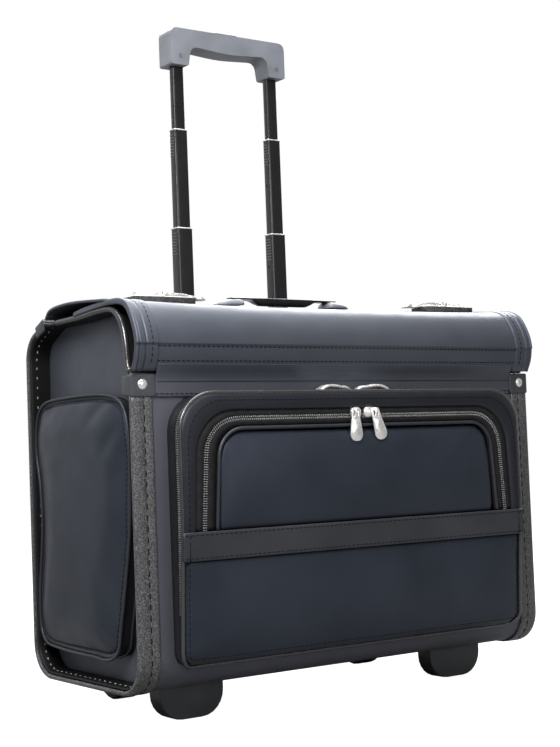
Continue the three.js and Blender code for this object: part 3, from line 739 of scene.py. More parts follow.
# Bindings and end panels


def wrap_line():
    """The board's line round the case, in y and z, from the front's top to the back's top."""
    corners = [
        (WRAP_FRONT, WRAP_TOP, 0), (WRAP_FRONT, WRAP_LOW, 31), (WRAP_REAR, WRAP_LOW, 31),
        (WRAP_REAR, BACK_CORNER_Z, 28), (BACK_EDGE_Y, BACK_EDGE_Z, 0),
    ]
    return rounded(corners, 14)


def endways(side):
    """Places outlines in y and z at a given x on one side of the case."""
    return lambda a, b, x: (side * x, a, b)


def outward(line):
    """The outward normals of the board's line."""
    return [Vector((t.y, -t.x)) for t in tangents(line)]


def edge_bindings():
    """A pebbled band on each end of the wrap, folded over the end into the end panel."""
    line = [p for p in even(wrap_line(), 4.0) if p.x > WRAP_FRONT + 1 or p.y < BINDING_TOP]
    normals = outward(line)
    section = [
        (213.5, 0.25), (213.6, 1.3), (214.4, 1.85), (216, 2.0), (221.2, 2.1), (222.0, 1.75),
        (222.5, 1.6), (223.0, 1.75), (223.8, 2.1), (231.5, 2.1), (233.8, 1.6), (235.0, 0.5),
        (235.3, -0.9), (234.9, -2.2), (234.0, -2.7), (233.6, -2.5), (233.6, 0.25),
    ]
    for label, side in SIDES:
        rings = []
        for point, normal in zip(line, normals):
            rings.append([(side * x, *(point + normal * height)) for x, height in section])
        replaced = [f"edge_binding_{label}"]
        add_piece(f"binding_{label}", loft(rings), GRAINED, "case", replaced)
        row = even([(side * 222.5, *(p + n * 1.85)) for p, n in zip(line, normals)], 9.5)
        ups = [Vector((0, *n)) for n in outward([p.yz for p in row])]
        name = f"binding_stitches_{label}"
        parts = sew(row, ups, 5.2, 1.3, 0.7)
        add_piece(name, merge(parts), DARK_THREAD)
        # The stitches inside the flange are pale as painted highlights.
        parts = []
        for spot, along, up in zip(row, tangents(row), ups):
            inside = spot - up * 7.3
            inside.x = side * 226.5
            parts.append(capsule(inside, along, up, 2.4, 1.3, 0.9))
        add_piece(f"pan_stitches_{label}", merge(parts), THREAD_PAINTED_GLINT)


def end_panels():
    """The leather end panels: a flat plate set in behind a flange, with a cord along its top."""
    rim = [
        (42, 336), (1, 336.4), (-20, 337.4), (-39, 338.4), (-66, 337.5), (-79, 330), (-86, 320),
        (-90, 306), (-93, 284.5), (-97.5, 281.5),
    ]
    outline = offset(even(wrap_line(), 6.0), 2.7) + even(rim, 6.0)
    flange = [
        (0.0, 198), (0.0, 231), (0.4, 232.6), (1.25, 233.2), (2.1, 232.6), (2.5, 231), (2.6, 218),
        (3.0, 213.5), (3.0, 198),
    ]
    plate = [(1.5, 198.1), (1.5, 212.2), (2.2, 212.8), (5.0, 213.0), (8.0, 212.9)]
    for label, side in SIDES:
        ring = ring_loft(stack(outline, flange, endways(side)))
        # The flange's near-black colour is painted shade on its inner side.
        add_piece(f"end_flange_{label}", ring, FLANGE_PAINTED_SHADE)
        # The plate's light colour is painted light against the shadow of the flap.
        sheet = loft(stack(outline, plate, endways(side)))
        add_piece(f"end_plate_{label}", sheet, PLATE_PAINTED_LIGHT, replaces=[f"end_panel_{label}"])
        edge = [(side * 231.4, *p) for p in smooth_line(rim, 6)]
        cord = tube(edge, 2.9, up=(1, 0, 0), sides=12)
        add_piece(f"end_pan_rim_{label}", cord, PIPING)


# Hinge strip, flaps and tabs


def hinge_strip():
    """The sewn strip along the top of the front, under the flap's hinge."""
    outline = even(box_outline(-210.7, 210.7, 258, 279, 1, 2), 4.0, True)
    band = pad(outline, forwards, 101.3, 103.0, 0.7, 0.0, 3)
    add_piece("hinge_band", band, BODY_PAINTED_LIGHT, replaces=["hinge_strip"])
    parts = [stitches([(-209, -103.1, z), (209, -103.1, z)], 3.4, 0.9) for z in (274.4, 260.6)]
    add_piece("hinge_stitches", merge(parts), DARK_THREAD)


FRONT_FLAP = [
    (-106.0, 280.6), (-108.6, 285.5), (-111.2, 291), (-112.9, 298), (-113.3, 306), (-110.5, 317),
    (-104.5, 329), (-97, 338), (-86, 342.4), (-71, 343.6), (-52, 343.4), (-33, 342.4), (-13, 341.1),
    (1, 339.6),
]
REAR_FLAP = [
    (60.2, 341.8), (54, 348), (41, 351), (20, 352), (0, 351.7), (-20, 350.6), (-39, 349.2),
    (-60, 347.6),
]
FLAP_THICKNESS = 2.4
FLAP_LIP_Z = 303.5
FLAP_HALF_WIDTH = 235.0


def flap_sag(x, point):
    """How far the front flap's unsupported middle sinks, strongest along its ridge."""
    across = 1 - (x / FLAP_HALF_WIDTH) ** 2
    down = min(max((point.y - 304) / 36, 0.0), 1.0)
    tucked = min(max((point.x + 20) / 25, 0.0), 1.0)
    return 2.2 * across * down * (1 - tucked)


def flap_waves(x, s):
    """Slight waviness of the leather, fading out at the hinge."""
    return (
        0.35 * math.sin(x / 41 + s / 17) * math.sin(s / 23 + 0.7)
        + 0.25 * math.sin(x / 67 - s / 31 + 1.3)
    ) * min(1.0, s / 40)


def flap_columns():
    """Places across a flap: close together in the folded ends, wider between."""
    ends = [
        235.0, 234.6, 233.9, 232.9, 232.2, 231.8, 231.4, 231.0, 230.5, 229.0, 227.0, 225.2, 224.8,
        224.3, 223.8, 223.4, 222.0, 220.0, 218.0, 216.0, 214.2, 213.8, 213.3, 212.8, 212.3, 211.5,
    ]
    middle = [5.5 * k - 209 for k in range(77)]
    return [-x for x in ends] + middle + ends[::-1]


def end_fold(x):
    """Extra thickness of the bindings folded round a flap's end, with grooves between them."""
    near = abs(x)
    if near < 212.6:
        return 0.0
    if near > 234.3:
        return 0.3
    if 231.1 < near < 232.1 or 223.9 < near < 224.9:
        return -0.35
    return 1.5 if near > 231.5 else 1.0


def flap_sheet(line, sag, extra, tipped):
    """A closed sheet from a flap's profile: outer surface, rounded ends, inner surface."""
    lengths = [0.0]
    for a, b in zip(line, line[1:]):
        lengths.append(lengths[-1] + (b - a).length)
    rings = []
    for x in flap_columns():
        thin = 0.45 if abs(x) > FLAP_HALF_WIDTH - 0.2 else 1.0
        outer, inner = [], []
        for point, along, s in zip(line, tangents(line), lengths):
            up = Vector((0, -along.y, along.x))
            middle = Vector((x, point.x, point.y - sag(x, point))) - up * FLAP_THICKNESS / 2
            outer.append(middle + up * (FLAP_THICKNESS / 2 + extra(x, point, s)) * thin)
            inner.append(middle - up * FLAP_THICKNESS / 2 * thin)
        tip = [(outer[-1] + inner[-1]) / 2] if tipped else []
        rings.append(outer + tip + inner[::-1])
    return loft(rings)


def front_flap():
    """The front flap with its lip, the bindings folded round its ends and its seams."""
    def rise(x, point, s):
        lip = 0.9 if point.y > FLAP_LIP_Z or point.x > -90 else 0.0
        return lip + flap_waves(x, s) + end_fold(x)

    curve = smooth_line(FRONT_FLAP, 8)
    sheet = flap_sheet(refine(even(curve, 3.2), FLAP_LIP_Z), flap_sag, rise, True)
    add_piece("flap_front", sheet, FLAP_LEATHER_PAINTED_LIGHT, "front_flap", ["front_flap"])
    parts = []
    for z in (289.0, 301.4):
        near = min([p for p in even(curve, 0.5) if p.x < -100], key=lambda p: abs(p.y - z))
        row = [(x, near.x - 0.15, near.y) for x in (-211, 211)]
        parts.append(stitches(row, 3.4, 0.9))
    profile = [p for p in even(curve, 5.0) if p.x < -30 and p.y > 288]
    ups = [Vector((0, -t.y, t.x)) for t in tangents(profile)]
    for x in (-218.5, 218.5):
        row = []
        for p, up in zip(profile, ups):
            height = 1.1 if p.y < FLAP_LIP_Z else 2.0
            row.append(Vector((x, p.x, p.y - flap_sag(x, p))) + up * height)
        parts += sew(row, ups, 3.4, 0.9)
    add_piece("flap_front_stitches", merge(parts), DARK_THREAD, "front_flap")


def refine(line, z):
    """Adds points close to height z on the front of a profile, so that a step there is crisp."""
    result = []
    for a, b in zip(line, line[1:]):
        result.append(a)
        if a.x < -100 and (a.y - z) * (b.y - z) < 0:
            share = (z - a.y) / (b.y - a.y)
            result.append(a.lerp(b, max(share - 0.06, 0.01)))
            result.append(a.lerp(b, min(share + 0.06, 0.99)))
    result.append(line[-1])
    return result


def rear_flap():
    """The rear flap, and under each lock a pad and the lock's plate."""
    def sag(x, point):
        return 3.4 * (1 - (x / FLAP_HALF_WIDTH) ** 2) * min(max(-point.x / 60, 0.0), 1.0)

    top = even(smooth_line(REAR_FLAP, 8), 4.0)[::-1]
    sheet = flap_sheet(top, sag, lambda x, point, s: 0.0, False)
    add_piece("flap_rear", sheet, FLAP_LEATHER_PAINTED_LIGHT, "rear_flap", ["rear_flap"])
    layers = [(0.6, -60.5), (0.15, -60.2), (0.0, -59.8), (0.0, -36.7), (0.15, -36.2), (0.6, -36)]
    for label, side in SIDES:
        block = stack(box_outline(140, 204, 344.9, 351.4, 0.6), layers, sideways(side))
        add_piece(f"lock_pad_{label}", loft(block), PAD, "rear_flap")
        lock_plate(label, side)


def sideways(side):
    """Places outlines in x and z at a given y, mirrored for the left side."""
    return lambda a, b, y: (side * a, y, b)


def lock_plate(label, side):
    """The lock's thin plate with a low frame round its dials and two hinge lugs for the hasp."""
    parts = []
    for x0, x1, y0, y1, z0, z1, radius in (
        (141.5, 202.5, -58.5, -37.5, 350.6, 352.1, 2.0),
        (176.2, 178.2, -51.5, -39.5, 351.8, 353.6, 0.5),
        (196.0, 198.0, -51.5, -39.5, 351.8, 353.6, 0.5),
        (176.2, 198.0, -52.5, -50.5, 351.8, 353.2, 0.5),
        (176.2, 198.0, -40.5, -38.5, 351.8, 353.2, 0.5),
        (168.0, 172.0, -57.5, -54.6, 351.8, 356.6, 1.2),
        (168.0, 172.0, -39.3, -36.4, 351.8, 356.6, 1.2),
    ):
        layers = ((0.3, z0), (0.0, z0 + 0.2), (0.0, z1 - 0.25), (0.3, z1))
        outline = box_outline(x0, x1, y0, y1, radius)
        parts.append(loft(stack(outline, layers, lambda a, b, z: (side * a, b, z))))
    name = f"lock_plate_{label}"
    add_piece(name, merge(parts), NICKEL, "rear_flap", [f"lock_case_{label}"])


def fold(name, path, body, bend_from, bend_to):
    """A leather fold that joins a flap to the case and bends between two points of its path."""
    line = smooth_line(path, 6)
    rings = []
    for x in (-210.5, -209.5, *range(-200, 201, 20), 209.5, 210.5):
        half = 0.55 * (0.4 if abs(x) > 210 else 1.0)
        outer = [(x, *p) for p in offset(line, half)]
        inner = [(x, *p) for p in offset(line, -half)]
        rings.append(outer + inner[::-1])
    obj = add_piece(name, loft(rings), FLAP_LEATHER_PAINTED_LIGHT, None)
    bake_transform(obj, "case", body, to_frame((0, *bend_from)), to_frame((0, *bend_to)))


def folds():
    """The front and the rear flap's folds."""
    front = [(-103.2, 271.5), (-103.6, 275), (-105.0, 279), (-107.2, 283), (-109.2, 286.5)]
    fold("hinge_fold_front", front, "front_flap", (-105, 277.5), (-106.5, 281.5))
    rear = [(78, 333.6), (71, 336.6), (65.5, 339.6), (61, 343.2), (56, 346.6), (50, 349.2)]
    fold("hinge_fold_rear", rear, "rear_flap", (66, 339.4), (59.5, 344.2))


def leaf(corners, low, high, side):
    """A tab's flat end, folded round onto the end of the case."""
    outline = even(rounded(corners, 3), 1.5, True)
    return pad(outline, lambda a, b, height: (side * height, a, b), low, high, 0.9, 0.2, 4)


def build_tabs():
    """The four corner tabs, each with a front or top part and a leaf on the case's end."""
    slope = math.atan2(BACK_EDGE_Z - BACK_CORNER_Z, WRAP_REAR - BACK_EDGE_Y)
    front_leaf = [(-102.5, 259, 1), (-88, 260, 3), (-88, 276.5, 3), (-102.5, 277.5, 1)]
    rear_leaf = [(62, 341.4, 1), (78, 334.8, 1), (78, 323.5, 2), (62, 329.5, 2)]
    for label, side in SIDES:
        outline = box_outline(*sorted((side * 211.0, side * 235.3)), 258, 278.5, 1.2)
        front = pad(even(outline, 1.5, True), forwards, 101.3, 103.9, 1.0, 0.3, 4)
        form = merge([front, leaf(front_leaf, 233.6, 235.9, side)])
        replaced = [f"corner_tab_front_{label}"]
        add_piece(f"tab_front_{label}", form, TAB, replaces=replaced)

        def sloped(a, b, height, side=side):
            y = BACK_EDGE_Y + b * math.cos(slope) + height * math.sin(slope)
            z = BACK_EDGE_Z - b * math.sin(slope) + height * math.cos(slope)
            return (side * 224 + a, y, z)

        outline = box_outline(-11.0 if side < 0 else -12.5, 11.2, 1, 21, 1.5)
        top = pad(even(outline, 1.5, True), sloped, 2.2, 4.6, 1.0, 0.3, 4)
        form = merge([top, leaf(rear_leaf, 233.8, 236.2, side)])
        replaced = [f"corner_tab_rear_{label}"]
        add_piece(f"tab_rear_{label}", form, TAB, replaces=replaced)


# Front pocket

POCKET = [(-200, 23, 14), (200, 23, 14), (200, 261, 35), (-200, 261, 35)]
POCKET_FRONT, POCKET_BACK = -124.5, -101.3
POCKET_CORE = Vector((0, 0, 140))
LEAN, LEAN_TOP, LEAN_END = 7.0, 150, 36
POCKET_ROLL = 13.0


def pocket_face(z):
    """The pocket front's y at height z: it leans back to the wall towards the bottom."""
    if z >= LEAN_TOP:
        return POCKET_FRONT
    if z >= LEAN_END:
        return POCKET_FRONT + LEAN * (LEAN_TOP - z) / (LEAN_TOP - LEAN_END)
    down = min((LEAN_END - z) / POCKET_ROLL, 1.0)
    return POCKET_FRONT + LEAN + POCKET_ROLL * (1 - math.sqrt(max(0.0, 1 - down * down)))


def pocket_wall():
    """The pocket's gusset between the case and the piping, with the zip set into it."""
    outline = even(rounded(POCKET, 10), 4.0, True)

    def between(x, z, share):
        """A point of the gusset, from the case (0) to the pocket's front (1)."""
        return (x, POCKET_BACK + (pocket_face(z) + 3.0 - POCKET_BACK) * share, z)

    layers = [
        (0.4, 0.0), (2.6, 0.12), (3.4, 0.3), (4.1, 0.36), (4.1, 0.7), (3.2, 0.76), (2.8, 0.9),
        (1.8, 1.0), (10.0, 1.0), (10.0, 0.0),
    ]
    gusset = ring_loft(stack(outline, layers, between))
    add_piece("pocket_gusset", gusset, BORDER, replaces=["pocket_body"])
    run = open_run(offset(outline, 3.5, True), lambda p: p.y >= 66)
    line = [Vector(between(p.x, p.y, 0.53)) for p in run]
    normals = LineNormals(line)
    strip = []
    for p in line:
        out = normals.at(p)
        section = ((-0.6, 5.0), (-0.25, 5.0), (-0.25, -5.0), (-0.6, -5.0))
        strip.append([p + out * height + Vector((0, reach, 0)) for height, reach in section])
    replaced = ["pocket_zipper_main"]
    add_piece("pocket_zip_tape_main", loft(strip), TAPE, replaces=replaced)
    teeth = coil(even(line, 1.9), lambda p: Vector((0, 1, 0)), normals.at, 1.9, 4.2, 1.15, 1.5)
    add_piece("pocket_zip_coil_main", teeth, COIL_PAINTED_GLINT)


class LineNormals:
    """Outward normals of a line in x and z, found at the nearest point."""

    def __init__(self, line):
        self.line = line
        self.along = tangents(line)

    def at(self, point):
        i = min(range(len(self.line)), key=lambda k: (self.line[k] - point).length_squared)
        out = Vector((self.along[i].z, 0, -self.along[i].x)).normalized()
        return out * (1 if out.dot(self.line[i] - POCKET_CORE) > 0 else -1)


def lower_panel():
    """The padded leather below the strap."""
    corners = [(-199, 24, 13), (199, 24, 13), (199, 117, 2), (-199, 117, 2)]
    outline = even(rounded(corners, 8), 4.0, True)

    def place(a, b, height):
        edge = min(1.0, (200 - abs(a)) / 9)
        roll = 1.6 * (1 - math.sqrt(max(0.0, 1 - (1 - max(edge, 0)) ** 2)))
        return (a, min(pocket_face(b) + 4.0 - height + roll, -101.7), b)

    def held(p):
        return p.y > pocket_face(p.z) + 1.6 or abs(p.x) > 194 or p.z < 30 or p.z > 112

    form = pad(outline, place, -9.0, 3.4, 1.6, 0.6, 12)
    mesh = puff("pocket_front_lower", form, held, cap_mm=5.0)
    obj = link_piece("pocket_front_lower", mesh, LEATHER, replaces=["pocket_panel"])
    return Surface(mesh)


def arch(half, top_half, low, high, radius):
    """An open line: up the left side, over the rounded top and down the right side."""
    corners = [(-half, low, 0), (-top_half, high, radius), (top_half, high, radius), (half, low, 0)]
    return rounded(corners, 10)


def arch_pairs(outer, inner, count=150):
    """Points of two arches, paired along their lengths."""
    pair = []
    for line in (outer, inner):
        pair.append(even(line, sum((b - a).length for a, b in zip(line, line[1:])) / count))
    return list(zip(*pair))


def pocket_border():
    """The frame of leather round the upper opening, with its rolled outer edge."""
    pairs = arch_pairs(arch(199, 199, 117, 260, 34), arch(188, 182, 117, 245, 40))
    profile = [
        (0.0, -119), (0.0, -121.5), (0.05, -123.4), (0.2, -124.4), (0.5, -124.8), (0.8, -124.6),
        (0.93, -124.0), (1.0, -122.6), (1.0, -119),
    ]
    strip = []
    for a, b in pairs:
        points = [(a.lerp(b, share), y) for share, y in profile]
        strip.append([(p.x, y + (pocket_face(p.y) - POCKET_FRONT), p.y) for p, y in points])
    add_piece("pocket_border", loft(strip), BORDER, replaces=["pocket_panel"])
    seam = [Vector((p.x, -124.95, p.y)) for p in [a.lerp(b, 0.42) for a, b in pairs]]
    add_piece("pocket_border_stitches", stitches(seam), DARK_THREAD)


def pocket_piping(lower):
    """Piping round the pocket front, and the stitches just inside it."""
    outline = even(rounded(POCKET, 10), 4.0, True)
    cord = [(p.x, pocket_face(p.y) + 2.4, p.y) for p in offset(outline, 0.6, True)]
    cord = tube(cord, 1.9, True, up=(0, 1, 0))
    add_piece("pocket_piping", cord, PIPING)
    spots = even(open_run(offset(outline, 7.0, True), lambda p: p.y < 114), STITCH_PITCH)
    parts = []
    for spot, along in zip(spots, tangents(spots)):
        hit, normal = lower.drop((spot.x, -160, spot.y), (0, 1, 0))
        parts.append(capsule(hit, Vector((along.x, 0, along.y)), normal, 3.3, 0.85, 0.8))
    add_piece("pocket_lower_stitches", merge(parts), DARK_THREAD)


def upper_pocket():
    """The zipped upper pocket: tape and two rows of coil round a padded panel with piping."""
    pairs = arch_pairs(arch(188, 182, 141, 245, 40), arch(166, 160, 141, 229, 26))
    profile = [
        (-0.03, -119.2), (-0.03, -122.0), (0.1, -122.2), (0.12, -122.9), (0.34, -123.1),
        (0.38, -122.2), (0.56, -122.2), (0.6, -123.1), (0.84, -122.9), (0.86, -122.2),
        (1.06, -122.0), (1.06, -119.2),
    ]
    strip = []
    for a, b in pairs:
        points = [(a.lerp(b, share), y) for share, y in profile]
        strip.append([(p.x, y, p.y) for p, y in points])
    replaced = ["pocket_zipper_upper"]
    add_piece("pocket_zip_tape_upper", loft(strip), TAPE, replaces=replaced)
    middle = [Vector((p.x, -122.7, p.y)) for p in [a.lerp(b, 0.47) for a, b in pairs]]
    normals = LineNormals(middle)
    parts = []
    for shift in (-1.15, 1.15):
        row = [p + normals.at(p) * shift for p in middle]
        parts.append(coil(row, normals.at, lambda p: Vector((0, -1, 0)), 2.1, 1.9, 1.1, 1.5))
    add_piece("pocket_zip_coil_upper", merge(parts), COIL_PAINTED_GLINT)

    corners = [(-164, 139, 3), (164, 139, 3), (158.5, 227.5, 25), (-158.5, 227.5, 25)]
    outline = even(rounded(corners, 8), 4.0, True)
    form = pad(outline, lambda a, b, height: (a, -118.8 - height, b), -6.0, 6.2, 2.0, 0.8, 12)
    mesh = puff("pocket_front_upper", form, lambda p: p.y > -122.5 or p.z < 144, cap_mm=4.0)
    replaced = ["pocket_panel_upper"]
    obj = link_piece("pocket_front_upper", mesh, LEATHER, replaces=replaced)
    cord = [(p.x, -123.8, p.y) for p in even(arch(165.5, 159.5, 141, 228.7, 26), 4.0)]
    cord = tube(cord, 1.7, up=(0, 1, 0))
    add_piece("pocket_upper_piping", cord, SOFT_PIPING)


def strap():
    """The band across the pocket, stitched along both edges and down its ends."""
    outline = even(box_outline(-200.6, 200.6, 115, 140, 1, 2), 4.0, True)

    def place(a, b, height):
        return (a, pocket_face(b) - POCKET_FRONT - height, b)

    band = pad(outline, place, 122.6, 126.4, 1.0, 0.2, 4)
    add_piece("pocket_band", band, BAND, replaces=["pocket_strap"])
    rows = [[(x, pocket_face(z) - 2.0, z) for x in (-197, 197)] for z in (117.6, 137.4)]
    rows += [[(x, pocket_face(z) - 2.0, z) for z in (119, 136)] for x in (-194, 194)]
    form = merge([stitches(row) for row in rows])
    add_piece("pocket_band_stitches", form, DARK_THREAD)


# Side pockets

SIDE_POCKET = [
    (-64, 58), (-57, 36), (-38, 27.5), (-10, 28), (25, 28.5), (60, 30), (87, 34), (97.5, 50),
    (97.5, 82), (92, 116), (88, 150), (91, 185), (97, 215), (93, 246), (74, 262), (20, 265),
    (-40, 264), (-72, 257), (-86, 236), (-88, 190), (-84, 140), (-74, 95),
]


def side_pockets():
    """One padded pocket, inflated once and mirrored for the other side."""
    outline = even(smooth_line(SIDE_POCKET, 6, True), 4.5, True)
    form = pad(offset(outline, 3.2, True), endways(-1), 222.0, 232.0, 4.0, 1.5, 12)
    mesh = puff("side_pocket_pad", form, lambda p: p.x > -226.5, cap_mm=5.0)
    surface = Surface(mesh)
    section = [
        (1.2, 212), (2.6, 214.5), (3.2, 220), (2.0, 227), (1.6, 229.5), (4.0, 229.5), (8.0, 225),
    ]
    spots = even(offset(outline, 7.0, True), STITCH_PITCH, True)
    for label, side in SIDES:
        own = mesh if side < 0 else mesh.copy()
        if side > 0:
            own.transform(Matrix.Scale(-1, 4, (1, 0, 0)))
            own.flip_normals()
        name, replaced = f"side_pocket_pad_{label}", [f"side_pocket_{label}"]
        link_piece(name, own, LEATHER, replaces=replaced)
        wall = loft(stack(outline, section, endways(side)))
        add_piece(f"side_pocket_wall_{label}", wall, BORDER)
        seams = []
        for x, inset, radius in ((230.0, 0.6, 1.5), (218.0, 2.0, 1.3)):
            cord = [(side * x, *p) for p in offset(outline, inset, True)]
            seams.append(tube(cord, radius, True, up=(1, 0, 0)))
        add_piece(f"side_pocket_piping_{label}", merge(seams), SOFT_PIPING)
        parts = []
        for spot, along in zip(spots, tangents(spots, True)):
            hit, normal = surface.drop((-260, *spot), (1, 0, 0))
            hit.x, normal.x = -side * hit.x, -side * normal.x
            parts.append(capsule(hit, Vector((0, *along)), normal, 3.3, 0.9, 0.85))
        add_piece(f"side_pocket_stitches_{label}", merge(parts), DARK_THREAD)


# Handle, trolley and locks


def carry_handle():
    """A flat band that swells into a bowed grip, with a dome and a screw at each end."""
    rings = []
    xs = [-64, -63.4, -56, -48, -44, -41, -38, -35, -32, -28, -20, -10, 0]
    for x in xs + [-x for x in reversed(xs[:-1])]:
        swell = min(max((41 - abs(x)) / 14, 0.0), 1.0)
        swell = swell * swell * (3 - 2 * swell)
        low = 358.3 - 5.6 * swell
        high = 360.2 + 0.3 * (1 - (x / 64) ** 2)
        middle = high - 1.35
        half = (7.5 if abs(x) < 63.8 else 6.8) - 0.9 * (1 - swell)
        ring = []
        for angle in turns(20):
            c, s = math.cos(angle), math.sin(angle)
            power = 0.45 if s > 0 else 0.45 + 0.35 * swell
            reach = high - middle if s > 0 else middle - low
            ring.append((x, half * bulged(c, power), middle + reach * bulged(s, power)))
        rings.append(ring)
    add_piece("carry_grip", loft(rings), GLOSS, "rear_flap", ["carry_handle"])
    for label, side in SIDES:
        rings = []
        for k in range(13):
            along = math.sin(math.pi / 2 * k / 12)
            height = max(6.9 * math.sqrt(max(0.0, 1 - along**2)) ** 1.15, 0.15)
            if k == 0:
                height -= 0.8
            half = 11.5 * max(0.12, 1 - along**3.0) ** 0.5
            ring = []
            for j in range(17):
                c, s = math.cos(math.pi * j / 16), math.sin(math.pi * j / 16)
                x = side * (53.5 + 28.5 * along)
                ring.append((x, half * bulged(c, 0.7), 352.3 + height * s**0.7))
            rings.append(ring)
        name, replaced = f"handle_dome_{label}", [f"handle_mount_{label}"]
        add_piece(name, loft(rings), GREY_PAINTED_SHEEN, "rear_flap", replaced)

        def on_dome(a, b, height, side=side):
            return (side * (70 + a + height * 0.35), b, 357.1 + height - 0.35 * a)

        head = ((3.0, 0.0), (3.0, 0.7), (2.4, 1.1), (1.2, 1.2), (0.9, 0.5), (0.2, 0.4))
        add_piece(f"handle_screw_{label}", turned(head, on_dome), NICKEL, "rear_flap")


TUBE_X, TUBE_Y = 59.3, 92.0
STAGES = (((19, 14), 443, 35), ((16.4, 11.4), 547, 50))  # section, top, the pin's depth below it
RIB_COUNT, RIB_PITCH = 8, 3.1
PIN = ((2.3, -0.3), (2.3, 0.1), (1.9, 0.2), (1.7, 0.05), (1.6, -0.2), (1.3, 0.1), (0.3, 0.2))


def trolley_details():
    """Collars, ribs and snap pins on the trolley's two lower stages."""
    for index, ((width, depth), top, pin_drop) in enumerate(STAGES, 1):
        body = f"trolley_stage_{index}"
        collar = (
            (-0.05, top - 0.9), (-0.3, top - 0.8), (-0.35, top - 0.1), (-0.1, top + 0.5),
            (0.9, top + 0.6), (0.9, top - 0.8),
        )
        for label, side in SIDES:
            x = side * TUBE_X
            rings = []
            for inset, z in collar:
                w, d = width / 2 - inset, depth / 2 - inset
                outline = box_outline(x - w, x + w, TUBE_Y - d, TUBE_Y + d, 2, 4)
                rings.append([(*p, z) for p in outline])
            add_piece(f"trolley_collar_{index}_{label}", ring_loft(rings), COLLAR, body)
            parts = []
            for k in range(RIB_COUNT):
                spot = Vector((x - width / 2, TUBE_Y, top - 6 - RIB_PITCH * k))
                along, out = Vector((0, 1, 0)), Vector((-1, 0, 0))
                parts.append(capsule(spot, along, out, depth * 0.7, 1.9, 0.5))
            name = f"trolley_ribs_{index}_{label}"
            add_piece(name, merge(parts), FOOT, body)

        def beside(a, b, height, face=TUBE_X - width / 2, z=top - pin_drop):
            return (face - height, TUBE_Y + a, z + b)

        add_piece(f"trolley_pin_{index}", turned(PIN, beside), RUBBER, body)


def grip_screws():
    """Small screws in dimples on the trolley grip's end blocks."""
    profile = ((2.6, -0.2), (2.6, 0.25), (2.1, 0.35), (1.6, 0.15), (0.3, 0.1))
    for label, side in SIDES:
        def place(a, b, height, side=side):
            return (side * 61 + a, TUBE_Y - 12.5 - height, 624 + b)

        form = turned(profile, place)
        add_piece(f"grip_screw_{label}", form, DIMPLE, "trolley_stage_3")


def lock_keepers():
    """The small plate beside each lock that its hasp's tip meets."""
    outline = rounded([(120, 350.2, 1.0), (133, 350.2, 1.0), (127.5, 355.6, 1.0)], 3)
    layers = ((0.5, -50), (0.0, -49.4), (0.0, -41.6), (0.5, -41))
    for label, side in SIDES:
        form = loft(stack(outline, layers, sideways(side)))
        add_piece(f"lock_keeper_{label}", form, NICKEL, "rear_flap")


PULL_PATH = [
    (0, 262.6), (5, 264.4), (10, 264.6), (16, 265.6), (24, 265.8), (30, 264.4), (35, 261.8),
]


def main_pulls():
    """The main zip's sliders, each with a curved pull lying outwards along the pocket's top."""
    for (label, side), start in zip(SIDES, (-7.5, 3.0)):
        line = smooth_line([(start + side * a, z) for a, z in PULL_PATH], 4)
        rings = []
        for i, (point, along) in enumerate(zip(line, tangents(line))):
            share = i / (len(line) - 1)
            half = 2.6 + 3.2 * share**0.7 if share < 0.97 else 3.6
            thick = 1.7 if 0.02 < share < 0.98 else 0.9
            up = Vector((-along.y, along.x))
            ring = []
            for angle in turns(12):
                at = point + up * bulged(math.sin(angle), 0.6) * thick
                ring.append((at.x, -113 + bulged(math.cos(angle), 0.5) * half, at.y))
            rings.append(ring)
        body = []
        outline = box_outline(-4.6, 4.6, -4.2, 4.2, 1.6)
        for z, size in ((259.6, 0.9), (260.2, 1.0), (261.6, 1.0), (262.6, 0.85), (263.0, 0.6)):
            body.append([(start + p.x * size, -112 + p.y * size, z) for p in outline])
        form, slider = merge([loft(rings), loft(body)]), f"zip_slider_main_{label}"
        add_piece(f"zip_pull_main_{label}", form, NICKEL, slider, [slider])


def slab(outline, back, front, edge):
    """A plate with rounded edges on an outline in x and z, between two values of y."""
    layers = ((edge, back), (0.0, back - edge), (0.0, front + edge), (edge, front))
    return loft(stack(outline, layers, sideways(1)))


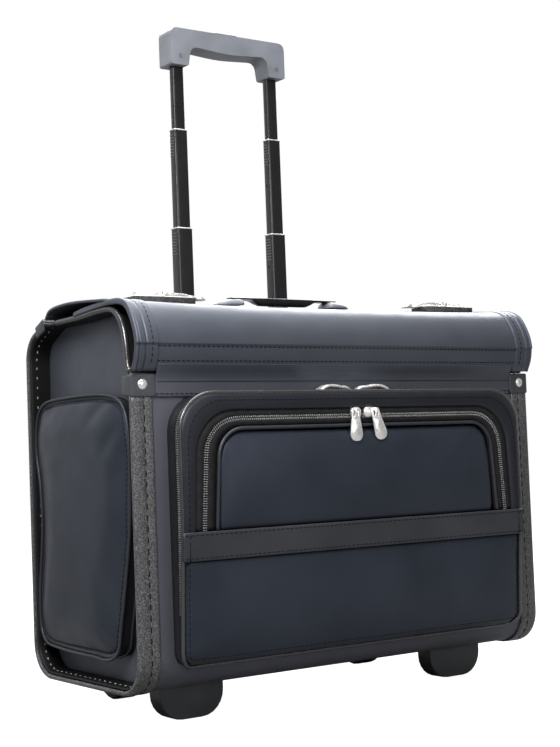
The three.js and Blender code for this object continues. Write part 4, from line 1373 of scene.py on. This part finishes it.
def upper_pulls():
    """The upper zip's sliders with a bridge each, and the pulls that hang from them."""
    pivot_z = 240.5
    lump_layers = ((-121.2, 0.9), (-122.2, 1.0), (-124.2, 0.95), (-125.4, 0.75), (-126.0, 0.4))
    bridge_line = [
        (-4.2, -123.5), (-4.0, -126.6), (-2.0, -128.9), (2.0, -128.9), (4.0, -126.6), (4.2, -123.5),
    ]
    eye = [(-5.0, -5.6, 0.5), (5.0, -5.6, 0.5), (4.6, 3.6, 2.2), (-4.6, 3.6, 2.2)]
    hole = [(-2.9, -3.4, 0.6), (2.9, -3.4, 0.6), (2.7, 1.7, 0.8), (-2.7, 1.7, 0.8)]
    blade = [
        (-4.9, -4.6, 0.5), (-7.2, -20.5, 2), (-6.2, -27.0, 6), (6.2, -27.0, 6), (7.2, -20.5, 2),
        (4.9, -4.6, 0.5),
    ]
    for (label, _), x, lump, tilt in zip(SIDES, (-11.3, 12.2), (-7.8, 7.7), (1, 17)):
        rings = []
        for y, size in lump_layers:
            ring = []
            for angle in turns(20):
                a = bulged(math.cos(angle), 0.75) * 6.3 * size
                b = bulged(math.sin(angle), 0.75) * 5.4 * size
                ring.append((lump + a, y, pivot_z + b))
            rings.append(ring)
        bridge = smooth_line([(x, y, pivot_z - 0.6 + z) for z, y in bridge_line], 4)
        form = merge([loft(rings), tube(bridge, 1.25, up=(1, 0, 0))])
        slider = f"zip_slider_upper_{label}"
        add_piece(f"slider_upper_{label}", form, NICKEL, slider, [slider])
        outer = even(rounded(eye, 4), 1.2, True)
        inner = rounded(hole, 4)
        inner = [min(inner, key=lambda q, p=p: (q - p * 0.6).length) for p in outer]
        frame_rings = []
        for ring, y in ((outer, -126.7), (outer, -128.3), (inner, -128.3), (inner, -126.7)):
            frame_rings.append([(p.x, y, p.y) for p in ring])
        plate = slab(even(rounded(blade, 5), 1.5, True), -126.6, -128.6, 0.6)
        points, faces = merge([ring_loft(frame_rings), plate])
        turn = Matrix.Rotation(math.radians(-tilt), 3, "Y")
        placed = []
        for p in points:
            q = turn @ Vector((p[0], 0, p[2]))
            placed.append((x + q.x, p[1], pivot_z + q.z))
        pull = f"zip_pull_upper_{label}"
        add_piece(f"pull_upper_{label}", (placed, faces), NICKEL, pull, [pull])


def dress_nodes():
    """Materials and rounded edges for the CAD nodes that stay."""
    dress("wrap_shell", BODY_PAINTED_LIGHT, 0.5)
    dress("trolley_grip", GREY_PAINTED_SHEEN, 1.6, 3)
    dress("trolley_button", GLOSS, 0.8)
    for label, _ in SIDES:
        for node, material, bevel, segments in (
            (f"tab_rivet_front_{label}", NICKEL, 0.3, 2),
            (f"tab_rivet_rear_{label}", NICKEL, 0.3, 2),
            (f"front_foot_{label}", FOOT, 1.4, 3),
            (f"wheel_housing_{label}", FOOT, 0.8, 2),
            (f"rear_wheel_{label}", RUBBER, 0.5, 2),
            (f"trolley_socket_{label}", FOOT, 0.5, 2),
            (f"lock_hasp_{label}", NICKEL, 0.35, 2),
        ):
            dress(node, material, bevel, segments)
        for k in (1, 2, 3):
            dress(f"trolley_tube_{k}_{label}", GLOSS, 0.9, 3)
            dress(f"lock_dial_{label}_{k}", NICKEL, 0.25)


edge_bindings()
end_panels()
hinge_strip()
front_flap()
rear_flap()
folds()
build_tabs()
pocket_wall()
lower_surface = lower_panel()
pocket_border()
pocket_piping(lower_surface)
upper_pocket()
strap()
side_pockets()
carry_handle()
trolley_details()
grip_screws()
lock_keepers()
main_pulls()
upper_pulls()
dress_nodes()
